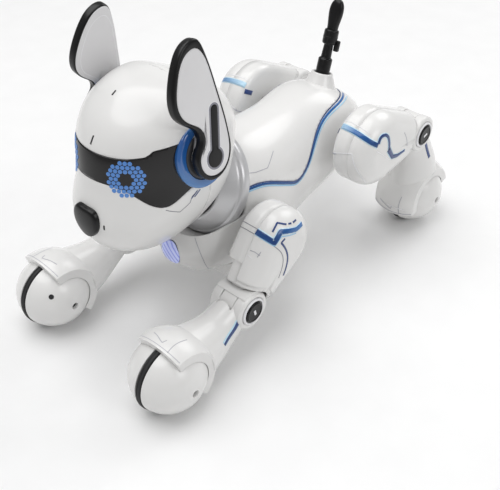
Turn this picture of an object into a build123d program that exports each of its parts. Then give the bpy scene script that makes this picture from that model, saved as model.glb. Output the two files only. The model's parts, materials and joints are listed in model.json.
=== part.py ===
from build123d import *
from math import cos, hypot, pi, radians, sin
import os

# Wheeled robot dog toy, crouching on its four pod feet.
# Frame: millimetres, the dog faces -Y, +X is its left side, +Z is up, the floor is Z = 0.

# ---- driving dimensions ----
FRONT_AXLE_Y = -117.0      # wheel axles, front and rear
REAR_AXLE_Y = 114.0
LEG_X = 49.0               # centre plane of each leg
WHEEL_R = 21.6             # tyre, outside
TYRE_W = 3.2
SHELL = 2.2                # wall of the body and head mouldings
GAP = 0.4                  # clearance between pieces that move past each other
RUN = 0.05                 # radial clearance of a running fit

KNEE_LENGTH = 56.0         # wheel axle to knee axis
FRONT_LEG_LEAN = -76.0     # turn about X that lays a lower leg from upright into its rest place
REAR_LEG_LEAN = 15.6
FRONT_THIGH_LENGTH = 40.0  # knee axis to shoulder axis
REAR_THIGH_LENGTH = 44.0   # knee axis to hip axis
FRONT_THIGH_R = 20.5       # rounding of a thigh at its upper end
REAR_THIGH_R = 23.5
FRONT_THIGH_LEAN = -48.0
REAR_THIGH_LEAN = 81.4
FRONT_FENDER_CUT = 27.0    # the front fenders stop this many degrees short, clear of the floor
FRONT_KNEE_SWING = (-25.0, 40.0)   # travel of the knees from rest
REAR_KNEE_SWING = (-5.0, 45.0)

NECK = Vector(0, -39, 83)  # centre of the neck collar's rim
NECK_LEAN = 68.0           # turn about X from upright to the neck axis
NECK_R = 31.0
NOSE_Z = 97.5
NOSE_FRONT_Y = -121.4
NOSE_PLUG_R = 6.0          # round plug that holds the nose in the muzzle
EAR_X, EAR_Y, EAR_Z = 40.1, -71.0, 130.0   # ear hinge, left side
EAR_TILT = 10.0            # ears lean in towards the crown
EAR_T = 6.0                # thickness of an ear
TAIL = Vector(0, 69, 108.5)
TAIL_LEAN = -16.0          # turn about X: the tail leans backwards
TAIL_BALL_R = 4.6
TAIL_PIN_R = 1.2           # cross pin through the ball, which the tail wags on


# ---- small helpers ----
def solid_of(shape):
    """One Part from whatever a boolean returned."""
    return Part() + shape


def y_turn(point, angle):
    """A (y, z) point turned about X by an angle in degrees."""
    c, s = cos(radians(angle)), sin(radians(angle))
    return (c * point[0] - s * point[1], s * point[0] + c * point[1])


def rod(radius, x0, x1, y=0.0, z=0.0):
    """Round bar along X from x0 to x1."""
    return Pos((x0 + x1) / 2, y, z) * Rot(0, 90, 0) * Cylinder(radius, x1 - x0)


def ball(radius):
    """Sphere whose poles lie on the X axis."""
    return Rot(0, 90, 0) * Sphere(radius)


def side_prism(points, half=60.0):
    """Prism along X whose side view is a closed outline of (y, z) points."""
    edge = Wire.make_polygon([Vector(0, y, z) for y, z in points], close=True)
    face = Pos(-half, 0, 0) * Face(edge)
    return solid_of(Solid.extrude(face, Vector(2 * half, 0, 0)))


def mirrored(part):
    return mirror(part, about=Plane.YZ)


def ring_section(points):
    return Wire([Edge.make_spline([Vector(*p) for p in points], periodic=True)])


def drawn_in(at, low, high, inset):
    """Shift of a section so that both ends of a body move inwards by inset and the middle stays."""
    return -inset * (2 * at - low - high) / (high - low)


def superellipse(angle, power):
    c, s = cos(angle), sin(angle)
    e = 2.0 / power
    return (abs(c) ** e * (1 if c >= 0 else -1), abs(s) ** e * (1 if s >= 0 else -1))


# ---- torso ----
# (y, half width, lowest z, highest z) of the torso, chest first
TORSO = [
    (-66.5, 8, 40, 52), (-60, 18, 34, 58), (-44, 28, 26, 92), (-24, 33, 21, 104),
    (0, 32, 24, 104), (27, 28.5, 31, 105), (55, 30.5, 43, 107), (75, 27, 54, 99),
    (88, 19, 61, 90), (95, 8, 69, 81),
]
TORSO_POWER = 2.2
# side view of the line where the back shell meets the belly shell
SEAM = [
    (-60, 78), (-47, 81), (-33, 85), (-19, 84.5), (-8, 80), (2, 75), (12, 71.5), (20, 75),
    (26, 82), (37, 94), (48, 99), (64, 100), (78, 97), (100, 86),
]


def torso_body(inset):
    sections = []
    for y, half, low, high in TORSO:
        shift = drawn_in(y, TORSO[0][0], TORSO[-1][0], inset)
        a, b, mid = half - inset, (high - low) / 2 - inset, (high + low) / 2
        ring = []
        for k in range(12):
            c, s = superellipse(2 * pi * k / 12, TORSO_POWER)
            ring.append((a * c, y + shift, mid + b * s))
        sections.append(ring_section(ring))
    return solid_of(Solid.make_loft(sections))


def neck_place():
    return Pos(*NECK) * Rot(NECK_LEAN, 0, 0)


COLLAR_DEPTH = 7.0
POST_R = 3.5


def above_seam(drop=0.0):
    """Everything over the seam line, lowered by drop."""
    curve = Edge.make_spline([Vector(0, y, z - drop) for y, z in SEAM])
    y0, y1 = SEAM[0][0], SEAM[-1][0]
    top = [
        Edge.make_line(Vector(0, y1, SEAM[-1][1] - drop), Vector(0, y1, 150)),
        Edge.make_line(Vector(0, y1, 150), Vector(0, y0, 150)),
        Edge.make_line(Vector(0, y0, 150), Vector(0, y0, SEAM[0][1] - drop)),
    ]
    face = Pos(-60, 0, 0) * Face(Wire([curve] + top))
    return solid_of(Solid.extrude(face, Vector(120, 0, 0)))


def link_end(start, length, lean):
    """Where a link ends that starts at (y, z) and leans from upright."""
    dy, dz = y_turn((0, length), lean)
    return (start[0] + dy, start[1] + dz)


FRONT_KNEE = link_end((FRONT_AXLE_Y, WHEEL_R), KNEE_LENGTH, FRONT_LEG_LEAN)
SHOULDER = link_end(FRONT_KNEE, FRONT_THIGH_LENGTH, FRONT_THIGH_LEAN)
REAR_KNEE = link_end((REAR_AXLE_Y, WHEEL_R), KNEE_LENGTH, REAR_LEG_LEAN)
HIP = link_end(REAR_KNEE, REAR_THIGH_LENGTH, REAR_THIGH_LEAN)

SHAFT_R = 3.0
LENS_R = 7.5               # chest lamp
LENS_Z = 46.0
PAD = (-38.0, 15.0, 19.0)  # flat of the belly: y from, y to, half width
PAD_Z = 20.0
DOOR = (-33.0, 4.0, 16.0)  # battery door in that flat: y from, y to, half width
SWITCH_Y = 11.0


def torso_shells():
    outer = torso_body(0.0)
    inner = torso_body(SHELL)
    skin = outer - inner
    bore = neck_place() * Pos(0, 0, 50 - COLLAR_DEPTH) * Cylinder(NECK_R + GAP, 100)
    skin = solid_of(skin - bore)
    for y, z in (SHOULDER, HIP):
        skin = skin - rod(SHAFT_R + RUN, -60, 60, y, z)
    y0, y1, half = PAD
    pad = Pos(0, (y0 + y1) / 2, PAD_Z + 4.5) * Box(2 * half, y1 - y0, 9)
    skin = skin - Pos(0, (y0 + y1) / 2, PAD_Z - 10) * Box(60, y1 - y0 + 30, 20)
    upper = above_seam()
    lens_hole = Pos(0, -70, LENS_Z) * Rot(90, 0, 0) * Cylinder(LENS_R, 40)
    back = solid_of(skin & upper)
    belly = solid_of(skin - above_seam(0.1)) - lens_hole
    belly = solid_of(belly + pad)
    d0, d1, dh = DOOR
    belly = belly - Pos(0, (d0 + d1) / 2, PAD_Z) * Box(2 * dh + 0.3, d1 - d0 + 0.3, 30)
    belly = belly - Pos(0, SWITCH_Y, PAD_Z) * Box(9, 3.4, 30)
    lens = solid_of(skin & (Pos(0, -70, LENS_Z) * Rot(90, 0, 0) * Cylinder(LENS_R - 0.05, 40)))
    return largest(back), largest(belly), largest(lens)


def largest(part):
    """The biggest solid, without slivers that a boolean may leave."""
    return Part() + max(part.solids(), key=lambda s: s.volume)


def collar():
    """Silver neck collar: a rim, a cone towards the head and a web with the post the head turns on."""
    r = NECK_R
    profile = [
        (0, -6.6), (r - 1.5, -6.6), (r, -5.5), (r, -1.0), (r - 1.2, 0.6), (21.5, 9.5),
        (19.5, 9.5), (r - 4.5, -3.4), (0, -3.4),
    ]
    wire = Wire.make_polygon([Vector(x, 0, z) for x, z in profile], close=True)
    body = Solid.revolve(Face(wire), 360, Axis.Z)
    post = Pos(0, 0, 7.5) * Cylinder(POST_R, 25.0) + Pos(0, 0, -2.2) * Cylinder(7.0, 2.8)
    return neck_place() * solid_of(solid_of(body) + post)


def head_gearbox():
    body = Pos(0, 4, 12.5) * Box(25, 20, 13)
    body = body + Pos(0, 11, 26) * Rot(0, 90, 0) * Cylinder(7, 24)
    body = body - Pos(0, 0, 11.5) * Cylinder(POST_R + RUN, 40)
    return neck_place() * solid_of(body)


def tail_boss():
    """Round white socket that stands on the back, with the cross pin that holds the tail's ball."""
    cone = Pos(0, 0, -6.0) * Cone(13, 6.8, 12) - Sphere(TAIL_BALL_R + 0.3)
    pin = Rot(90, 0, 0) * Cylinder(TAIL_PIN_R, 12.8)
    boss = tail_place() * solid_of(cone + pin)
    return largest(solid_of(boss - torso_body(0.0)))


def tail_place():
    return Pos(*TAIL) * Rot(TAIL_LEAN, 0, 0)


def tail_parts():
    """Stem with its ball, two collars, and the leaf-shaped blade that plugs into it."""
    stem = Sphere(TAIL_BALL_R) + Pos(0, 0, 6.0) * Cylinder(4.4, 8.0) + Pos(0, 0, 14.0) * Cylinder(3.1, 12.0)
    stem = stem + Pos(0, 0, 23.5) * Cylinder(4.5, 9.0) + Pos(3.6, 3.0, 18.0) * Box(3.0, 3.4, 6.0)
    stem = stem - Pos(0, 0, 26.0) * Cylinder(2.2, 8.0)
    stem = stem - Rot(90, 0, 0) * Cylinder(TAIL_PIN_R + RUN, 4 * TAIL_BALL_R)
    outline = [
        (3.4, 28.2), (4.6, 35.0), (4.9, 39.5), (3.2, 44.6), (0, 46.6), (-3.0, 44.2), (-3.7, 38.0),
        (-3.4, 28.2),
    ]
    corners = [Vector(x, 0, z) for x, z in outline]
    wire = Wire([Edge.make_spline(corners), Edge.make_line(corners[-1], corners[0])])
    blade = Solid.extrude(Pos(0, 2.6, 0) * Face(wire), Vector(0, -5.2, 0))
    blade = solid_of(blade) + Pos(0, 0, 25.4) * Cylinder(2.15, 6.0)
    return tail_place() * solid_of(stem), tail_place() * solid_of(blade)


def inside_torso():
    """Battery, circuit board, speaker and the two gear motors that swing the leg pairs."""
    parts = {}
    d0, d1, dh = DOOR
    mid = (d0 + d1) / 2
    cover = Pos(0, mid, PAD_Z + 1.25) * Box(2 * dh, d1 - d0, 2.5)
    for y in (d0 + 3, d1 - 3):
        cover = cover - Pos(0, y, PAD_Z) * Cylinder(1.6, 10) - Pos(0, y, PAD_Z) * Cylinder(3.0, 2.2)
    parts["battery_cover"] = solid_of(cover)
    screws = Part()
    for y in (d0 + 3, d1 - 3):
        screw = Pos(0, y, PAD_Z + 3.5) * Cylinder(1.5, 6.0) + Pos(0, y, PAD_Z + 0.7) * Cylinder(2.8, 0.8)
        screws = screws + solid_of(screw - Pos(0, y, PAD_Z + 0.3) * Box(3.6, 0.7, 0.5))
    parts["cover_screws"] = screws
    cells = Part()
    for x in (-7.4, 7.4):
        cells = cells + Pos(x, mid, 34.2) * Rot(90, 0, 0) * Cylinder(7.2, 34)
    parts["battery_cells"] = cells
    parts["main_board"] = solid_of(Pos(0, 26, 60) * Box(34, 54, 1.6)
                                   + Pos(0, 22, 62.3) * Box(12, 12, 3.0)
                                   + Pos(8, 40, 63.3) * Box(9, 7, 5.0))
    speaker = Pos(0, 22, 48) * Cylinder(13, 4) + Pos(0, 22, 51.5) * Cylinder(7, 3)
    parts["speaker"] = solid_of(speaker)
    gearboxes = (
        ("front_gearbox", SHOULDER, (8.4, -5.0), (17.0, 13.0)),
        ("rear_gearbox", HIP, (0.0, -3.0), (-19.0, -4.0)),
    )
    for name, (y, z), (box_y, box_z), (motor_y, motor_z) in gearboxes:
        box = Pos(0, y + box_y, z + box_z) * Box(34, 24, 22) + rod(7.5, -13, 13, y + motor_y, z + motor_z)
        parts[name] = solid_of(box - rod(SHAFT_R + RUN, -60, 60, y, z))
    knob = Pos(0, SWITCH_Y, PAD_Z + 0.6) * Box(4, 2.8, 3.6) + Pos(0, SWITCH_Y, PAD_Z + 13) * Box(14, 7, 1.6)
    knob = knob + Pos(0, SWITCH_Y, PAD_Z + 7.0) * Box(3, 2.6, 11)
    parts["power_switch"] = solid_of(knob)
    return parts


# ---- head ----
# (z, front y, rear y, y of the widest place, half width, bluntness of the front)
HEAD = [
    (61, -82, -70, -79, 3, 2.0), (65, -93, -56, -75, 9, 2.0), (74, -107, -43, -71, 17, 2.2),
    (86, -117, -34, -69, 25.6, 2.5), (100, -118.5, -29, -67, 32, 2.5), (115, -115, -26, -66, 34.5, 2.1),
    (130, -112, -27, -65, 36, 2.1), (143, -106, -34, -65, 35, 2.1), (152, -97, -45, -67, 28.5, 2.0),
    (158, -87, -57, -67, 19, 2.0), (160.5, -76, -62, -68, 7, 2.0),
]
EAR_PLANE_Y = -65.0        # the head's front and rear shells meet in this plane


def head_body(inset):
    sections = []
    for z, front, rear, wide, half, power in HEAD:
        shift = drawn_in(z, HEAD[0][0], HEAD[-1][0], inset)
        thin = min(inset, 0.55 * half)
        ring = []
        for k in range(16):
            turn = pi / 2 + 2 * pi * k / 16
            c, s = superellipse(turn, power if sin(turn) < -0.01 else 2.0)
            reach = (rear - wide if s > 0 else wide - front) - thin
            ring.append(((half - thin) * c, wide + reach * s, z + shift))
        sections.append(ring_section(ring))
    return solid_of(Solid.make_loft(sections))


VISOR = [
    (-130, 134), (-105, 134.4), (-98, 135.8), (-95, 138), (-83, 139.3), (-72, 140), (-72, 114.5),
    (-75.5, 113.2), (-85, 108.9), (-92, 106.2), (-96, 107.2), (-101.6, 111.4), (-111, 120.8), (-130, 121),
]
RING_R = (12.5, 17.5)      # blue ear ring, inside and outside
HUB_DEPTH = 13.0           # the round seat of an ear goes this far in from the ear's middle plane
EYE = Vector(18.2, -105.5, 124)   # middle of the left eye display, behind the visor
EYE_TURN = 30.0
EYE_R = 8.9                # the dots fill a ring between these radii
EYE_PUPIL_R = 2.6
EYE_PITCH = 2.4            # from dot to dot
EYE_DOT_R = 1.0


def neck_clearance():
    """Round room behind the head, so that it can turn about the neck axis past the collar."""
    profile = [(0, -60), (60, -60), (60, 1.2), (NECK_R - 0.4, 1.2), (21.9, 10.3), (0, 10.3)]
    wire = Wire.make_polygon([Vector(x, 0, z) for x, z in profile], close=True)
    return neck_place() * solid_of(Solid.revolve(Face(wire), 360, Axis.Z))


def ear_place(side):
    tilt = Rot(0, -EAR_TILT * side, 0)
    return Pos(side * EAR_X, EAR_Y, EAR_Z) * tilt


def eye_place(side):
    return Pos(side * EYE.X, EYE.Y, EYE.Z) * Rot(0, 0, side * EYE_TURN)


def head_shells():
    outer = head_body(0.0)
    inner = head_body(SHELL)
    skin = solid_of(outer - inner) - neck_clearance()
    seats = Part()
    for side in (-1, 1):
        disc = Rot(0, 90, 0) * Cylinder(RING_R[1] + 0.3, 30)
        seats = seats + ear_place(side) * Pos(side * (15 - HUB_DEPTH), 0, 0) * disc
    skin = solid_of(skin - seats)
    window = side_prism(VISOR)
    visor = solid_of(skin & window)
    frame = solid_of(skin - window)
    nose_cut = Pos(0, -119, NOSE_Z) * Rot(90, 0, 0) * Cylinder(NOSE_PLUG_R + RUN, 20)
    front_half = Pos(0, EAR_PLANE_Y - 50, 110) * Box(120, 100, 140)
    front = sorted(solid_of(frame & front_half).solids(), key=lambda s: s.volume)[-2:]
    muzzle, crown = sorted(front, key=lambda s: s.center().Z)
    rear_half = Pos(0, EAR_PLANE_Y + 50.06, 110) * Box(120, 100, 140)
    rear = largest(solid_of(frame & rear_half))
    return Part() + crown, largest(solid_of(Part() + muzzle - nose_cut)), rear, largest(visor)


def nose():
    """Rounded five-cornered cap in front of the muzzle, with the plug that holds it."""
    outline = [
        (-8.8, 3.4), (-6.4, 7.8), (0, 8.6), (6.4, 7.8), (8.8, 3.4), (5.8, -5.5), (0, -8.6), (-5.8, -5.5),
    ]
    wire = ring_section([(x, NOSE_FRONT_Y, NOSE_Z + z) for x, z in outline])
    cap = Solid.extrude(Face(wire), Vector(0, 4.0, 0))
    cap = solid_of(cap) - head_body(-RUN)
    plug = Pos(0, NOSE_FRONT_Y + 5.4, NOSE_Z) * Rot(90, 0, 0) * Cylinder(NOSE_PLUG_R, 9.0)
    return solid_of(largest(cap) + plug)


def ear_rings():
    rings = Part()
    for side in (-1, 1):
        tube = Cylinder(RING_R[1], 6.4) - Cylinder(RING_R[0], 8.0)
        rings = rings + ear_place(side) * Pos(side * (-EAR_T / 2 - 3.75), 0, 0) * Rot(0, 90, 0) * tube
    return rings


def eye_displays():
    """Board of each eye with its dots in a hexagonal ring round an empty pupil."""
    displays = Part()
    for side in (-1, 1):
        place = eye_place(side)
        display = place * Pos(0, 7.0, 0) * Box(21, 1.2, 17)
        for row in range(-4, 5):
            for col in range(-4, 5):
                x = (col + 0.5 * (row % 2)) * EYE_PITCH
                z = row * EYE_PITCH * sin(pi / 3)
                if EYE_PUPIL_R < hypot(x, z) < EYE_R:
                    display = display + place * Pos(x, 5.9, z) * Rot(90, 0, 0) * Cylinder(EYE_DOT_R, 1.3)
        displays = displays + display
    return displays


# outline of an ear in its own plane, (y, z) from the hinge
EAR = [
    (1.0, 57.2), (-6.4, 56.4), (-11.8, 51.3), (-16.8, 41.6), (-18.9, 34.0), (-18.2, 26.8), (-13.0, 20.6),
    (-7.4, 15.4), (-6.4, 10.0), (-9.8, 4.8), (-10.9, -1.5), (-8.2, -7.8), (-2.0, -11.4), (5.0, -10.0),
    (10.0, -5.0), (12.2, 2.0), (12.1, 8.0), (11.1, 18.3), (9.2, 29.5), (7.4, 39.8), (4.8, 50.5),
]
EAR_FACE = [
    (-0.4, 53.3), (-5.6, 52.8), (-10.0, 49.5), (-14.5, 41.0), (-16.6, 32.6), (-15.4, 26.1), (-11.3, 21.3),
    (-5.6, 16.6), (-3.7, 12.5), (-4.2, 8.3), (-8.0, 3.6), (-8.9, -1.6), (-6.2, -6.9), (-0.8, -9.2),
    (5.2, -7.9), (9.2, -3.4), (10.9, 4.0), (10.1, 17.0), (8.2, 28.8), (6.2, 40.0), (3.4, 49.3),
]
KEYHOLE = (0.3, -0.6, 4.4)            # bulge of the inlay: y, z, radius
KEYHOLE_STEM = ((1.4, 5.0, 1.9), (4.3, 22.7, 1.9))


def flat_shape(points, x0, x1, scale=1.0):
    face = Face(ring_section([(x0, y * scale, z * scale) for y, z in points]))
    return solid_of(Solid.extrude(face, Vector(x1 - x0, 0, 0)))


def keyhole(grow, x0, x1):
    """Keyhole prism along X: a long stem over a round bulge, grown by a margin."""
    y, z, r = KEYHOLE
    stem = hull_prism([(a, b, c + grow) for a, b, c in KEYHOLE_STEM], x0, x1)
    return solid_of(stem + rod(r + grow, x0, x1, y, z))


def ear_parts(side):
    """Black rim, two white plates let into it and the black keyhole inlay, for one ear."""
    t = EAR_T / 2
    rim = flat_shape(EAR, -t, t)
    rim = fillet(rim.edges().filter_by(lambda e: abs(e.center().X) > t - 0.01), 1.2)
    plate_out = flat_shape(EAR_FACE, t - 1.8, t)
    plate_in = flat_shape(EAR_FACE, -t, -t + 1.8)
    rim = solid_of(rim - flat_shape(EAR_FACE, t - 1.82, t + 3) - flat_shape(EAR_FACE, -t - 3, -t + 1.82))
    hinge_bore = rod(2.0 + RUN, -10, t - 2.0)
    rim = solid_of(rim - hinge_bore)
    inlay = keyhole(0, t - 1.6, t)
    plate_out = solid_of(plate_out - keyhole(0.02, t - 4.0, t + 3.0))
    plate_in = solid_of(plate_in - hinge_bore)
    out = {"rim": largest(rim), "plates": largest(plate_out) + largest(plate_in), "inlay": inlay}
    if side < 0:
        out = {k: mirrored(v) for k, v in out.items()}
    return {k: ear_place(side) * v for k, v in out.items()}


def ear_hubs():
    """Round hub on each side of the head, with the pin that its ear turns on."""
    pins = Part()
    for side in (-1, 1):
        pin = rod(2.0, -12.0, EAR_T / 2 - 2.2) + rod(RING_R[0] - 0.05, -10.0, -EAR_T / 2 - 0.5)
        pin = pin + rod(15.5, -12.0, -10.0)
        pins = pins + ear_place(side) * (pin if side > 0 else mirrored(pin))
    return pins


# ---- legs ----
POD_R = 25.5               # outside of the fender
POD_HALF = 15.0            # half width of the fender
DOME_R = 21.05             # outside of the hub domes, just inside the tyre
KNUCKLE_R = 11.5
KNUCKLE_HALF = 11.5
TONGUE_HALF = 4.9
PIN_R = 2.5
AXLE_R = 1.6
TYRE_SEAT_R = 19.2         # inside of the tyre


def hull_prism(circles, x0, x1):
    """Prism along X round the tangent hull of circles given as (y, z, radius)."""
    with BuildSketch(Plane.YZ) as sketch:
        with BuildLine():
            for y, z, r in circles:
                CenterArc((y, z), r, 0, 360)
        make_hull()
    return Pos(x0, 0, 0) * extrude(sketch.sketch, amount=x1 - x0)


# (height over the axle, half width, half depth, shift to the outside of the knee's bend)
SHANK = [
    (55, 11.0, 10.6, 0), (46, 10.8, 11.6, 2.0), (36, 11.8, 13.2, 3.8), (26, 14.0, 16.2, 3.0),
    (12, 17.5, 20.0, 0),
]


def lower_leg(fender_cut):
    """Knuckle, tapering shank and half-round fender, upright on a wheel axle at the origin.

    fender_cut is how many degrees the fender stops short on the outside of the knee's bend.
    """
    half = hull_prism([(0, KNEE_LENGTH, KNUCKLE_R), (0, KNEE_LENGTH - 2, KNUCKLE_R)],
                      -KNUCKLE_HALF, KNUCKLE_HALF)
    knuckle = fillet(half.edges().filter_by(lambda e: abs(e.center().X) > KNUCKLE_HALF - 0.01), 1.5)
    rings = []
    for z, a, b, out in SHANK:
        turns = [2 * pi * k / 16 for k in range(16)]
        rings.append(ring_section([(a * cos(t), out + b * sin(t), z) for t in turns]))
    shank = solid_of(Solid.make_loft(rings))
    fender = ball(POD_R) & (Pos(0, 0, 50) * Box(2 * POD_HALF, 100, 100))
    body = solid_of(knuckle + shank + fender)
    body = body & (Box(2 * POD_HALF, 200, 200) - Pos(0, 0, -50) * Box(200, 200, 100))
    if fender_cut:
        body = body - Rot(fender_cut, 0, 0) * Pos(0, 50, -50) * Box(100, 100, 100)
    body = solid_of(body - ball(DOME_R + 0.05))
    body = body - rod(WHEEL_R + 0.9, -TYRE_W / 2 - 0.6, TYRE_W / 2 + 0.6)
    slot = rod(KNUCKLE_R + 1.3, -TONGUE_HALF - GAP, TONGUE_HALF + GAP, 0, KNEE_LENGTH)
    body = body - slot - rod(PIN_R + 0.02, -20, 20, 0, KNEE_LENGTH)
    return largest(solid_of(body))


def knee_pin():
    """Black cap with its pin through the knuckle; the cap is on the outer side."""
    cap = rod(6.5, KNUCKLE_HALF, KNUCKLE_HALF + 1.6, 0, KNEE_LENGTH)
    cap = fillet(cap.edges().filter_by(lambda e: e.center().X > KNUCKLE_HALF + 1.5), 0.5)
    return solid_of(cap + rod(PIN_R, -KNUCKLE_HALF + 1.0, KNUCKLE_HALF, 0, KNEE_LENGTH))


def pod_domes():
    """Two fixed hub domes with the axle's bearing bosses, one each side of the wheel."""
    side_x = TYRE_W / 2 + 0.45
    half_space = Pos(50 + side_x, 0, 0) * Box(100, 100, 100)
    dome = solid_of(ball(DOME_R) & half_space) - ball(DOME_R - 1.6)
    boss = solid_of(rod(4.0, side_x + 1.4, 20.0) & ball(DOME_R - 0.5))
    dome = solid_of(dome + boss) - rod(AXLE_R + RUN, 0, 18.2) - rod(2.1, 18.9, 30)
    dome = largest(dome)
    return Part() + [dome, largest(mirrored(dome))]


def wheel():
    """Rubber tyre and the disc that carries it, with the axle moulded on."""
    tyre = rod(WHEEL_R, -TYRE_W / 2, TYRE_W / 2)
    tyre = fillet(tyre.edges(), 0.5) - rod(TYRE_SEAT_R, -5, 5)
    hub = rod(TYRE_SEAT_R - 0.02, -1.2, 1.2) - rod(16.5, 0.6, 5) - rod(16.5, -5, -0.6)
    hub = hub + rod(4.0, -2.6, 2.6) + rod(AXLE_R, -17.8, 17.8)
    return solid_of(tyre), solid_of(hub)


def thigh(length, radius, rest_angle, swing, inner_half=12.4, outer_half=13.0):
    """Inner and outer shell of an upper leg: knee axis at the origin, shoulder up the Z axis.

    rest_angle is the lower leg's turn from straight at rest, swing its travel from there.
    """
    r_low = 13.6
    outline = [(0, length, radius), (0, 10, r_low)]
    wall = 2.0
    inset = [(0, length, radius - wall), (0, 10, r_low - wall)]
    turns = [rest_angle + swing[0] + (swing[1] - swing[0]) * k / 8 for k in range(9)]
    pods = [y_turn((0, -KNEE_LENGTH), turn) for turn in turns]
    clear = hull_prism([(0, 0, KNUCKLE_R + 0.9)] + [(y, z, POD_R + 1.4) for y, z in pods], -20, 20)
    shells = []
    for sign, depth, round_r in ((-1, inner_half, 4.5), (1, outer_half, 11.5)):
        block = hull_prism(outline, 0, depth)
        face_edges = block.edges().filter_by(lambda e: e.center().X > depth - 0.01)
        block = fillet(face_edges, round_r)
        room = hull_prism(inset, -1, depth - wall)
        room = fillet(room.edges().filter_by(lambda e: e.center().X > depth - wall - 0.01), round_r - 0.6)
        tray = solid_of(block - room)
        rib = hull_prism(inset, 0.0, TONGUE_HALF) & (Pos(0, 0, 17) * Box(60, 60, 5))
        boss = rod(6.0, 0.0, depth - 0.5, 0, length)
        tray = solid_of(tray + boss) - clear
        tongue = hull_prism([(0, 0, 6.5), (0, 17, 6.5)], 0.0, TONGUE_HALF)
        tray = solid_of(tray + rib + tongue)
        tray = tray - rod(PIN_R + RUN, -5, 20, 0, 0)
        tray = tray - rod(SHAFT_R + 0.02, -5, depth - 3 if sign > 0 else 30, 0, length)
        tray = largest(solid_of(tray))
        shells.append(tray if sign > 0 else mirrored(tray))
    return shells


def leg_shaft(y, z):
    """Cross shaft that swings a pair of legs together."""
    reach = LEG_X + 9.9
    return solid_of(rod(SHAFT_R, -reach, reach, y, z))


def place_leg(part, side, y, z, lean):
    part = part if side > 0 else mirrored(part)
    return Pos(side * LEG_X, y, z) * Rot(lean, 0, 0) * part


def build():
    parts = {}
    parts["back_shell"], parts["belly_shell"], parts["chest_lamp"] = torso_shells()
    parts.update(inside_torso())
    parts["neck_collar"] = collar()
    parts["tail_boss"] = tail_boss()
    parts["tail_stem"], parts["tail_blade"] = tail_parts()
    for name, (y, z) in (("front_leg_shaft", SHOULDER), ("rear_leg_shaft", HIP)):
        parts[name] = leg_shaft(y, z)

    parts["head_crown"], parts["muzzle"], parts["head_rear"], parts["visor"] = head_shells()
    parts["nose"] = nose()
    parts["ear_rings"] = ear_rings()
    parts["ear_hubs"] = ear_hubs()
    parts["eye_displays"] = eye_displays()
    parts["head_gearbox"] = head_gearbox()
    for side, name in ((1, "left"), (-1, "right")):
        for piece, shape in ear_parts(side).items():
            parts[f"ear_{piece}_{name}"] = shape

    pin, domes = knee_pin(), pod_domes()
    tyre, hub = wheel()
    rows = (
        ("front", FRONT_AXLE_Y, FRONT_LEG_LEAN, FRONT_FENDER_CUT, FRONT_KNEE, FRONT_THIGH_LENGTH,
         FRONT_THIGH_LEAN, FRONT_THIGH_R, FRONT_KNEE_SWING),
        ("rear", REAR_AXLE_Y, REAR_LEG_LEAN, 0.0, REAR_KNEE, REAR_THIGH_LENGTH,
         REAR_THIGH_LEAN, REAR_THIGH_R, REAR_KNEE_SWING),
    )
    for row, axle_y, lean, fender_cut, knee, length, thigh_lean, radius, swing in rows:
        leg = lower_leg(fender_cut)
        inner, outer = thigh(length, radius, lean - thigh_lean, swing)
        for side, name in ((1, "left"), (-1, "right")):
            tag = f"{row}_{name}"
            for piece, shape in (("lower_leg", leg), ("knee_pin", pin), ("pod_domes", domes),
                                 ("tyre", tyre), ("wheel_hub", hub)):
                parts[f"{piece}_{tag}"] = place_leg(shape, side, axle_y, WHEEL_R, lean)
            for piece, shape in (("thigh_inner", inner), ("thigh_outer", outer)):
                parts[f"{piece}_{tag}"] = place_leg(shape, side, knee[0], knee[1], thigh_lean)
    return parts


os.makedirs("parts", exist_ok=True)
ALL = build()
for node, shape in ALL.items():
    export_step(shape, f"parts/{node}.step")
print(len(ALL), "nodes; knees", FRONT_KNEE, REAR_KNEE, "shoulder", SHOULDER, "hip", HIP)
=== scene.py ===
import json
from math import asin, cos, hypot, pi, radians, sin

import bmesh
import bpy
import numpy as np
from mathutils import Matrix, Vector
from mathutils.bvhtree import BVHTree
from numpy.linalg import norm


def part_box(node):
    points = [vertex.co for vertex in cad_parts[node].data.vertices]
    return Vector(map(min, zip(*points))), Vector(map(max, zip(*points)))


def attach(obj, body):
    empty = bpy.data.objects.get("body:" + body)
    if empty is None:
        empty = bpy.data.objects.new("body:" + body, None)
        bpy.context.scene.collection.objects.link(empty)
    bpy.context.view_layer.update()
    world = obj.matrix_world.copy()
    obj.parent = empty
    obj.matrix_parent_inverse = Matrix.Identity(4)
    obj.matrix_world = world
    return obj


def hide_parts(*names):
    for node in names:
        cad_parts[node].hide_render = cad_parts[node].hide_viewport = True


# Looks of the wheeled robot dog toy. Lengths are millimetres until piece() scales them to metres.
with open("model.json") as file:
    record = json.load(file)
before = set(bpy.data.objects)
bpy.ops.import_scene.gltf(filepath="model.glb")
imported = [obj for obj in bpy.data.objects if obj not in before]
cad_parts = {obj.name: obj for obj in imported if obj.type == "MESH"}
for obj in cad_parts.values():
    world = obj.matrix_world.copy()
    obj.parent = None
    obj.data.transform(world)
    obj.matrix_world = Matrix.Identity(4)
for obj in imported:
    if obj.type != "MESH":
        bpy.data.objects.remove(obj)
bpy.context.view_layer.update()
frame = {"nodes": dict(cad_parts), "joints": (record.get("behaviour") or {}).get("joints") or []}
MM = 0.001
JOINT = {j["name"]: j for j in frame["joints"]}


def joint_mm(name):
    return [v / MM for v in JOINT[name]["pos_m"]]


# ---- camera and light ----
LENS, SENSOR = 56.5, 36.0
CAMERA_PLACE, CAMERA_LOOK = (0.26849, -0.2964, 0.32938), (-0.5246, 0.5824, -0.6210)
LIGHT_TARGET = (0, 0, 0.06)
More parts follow.
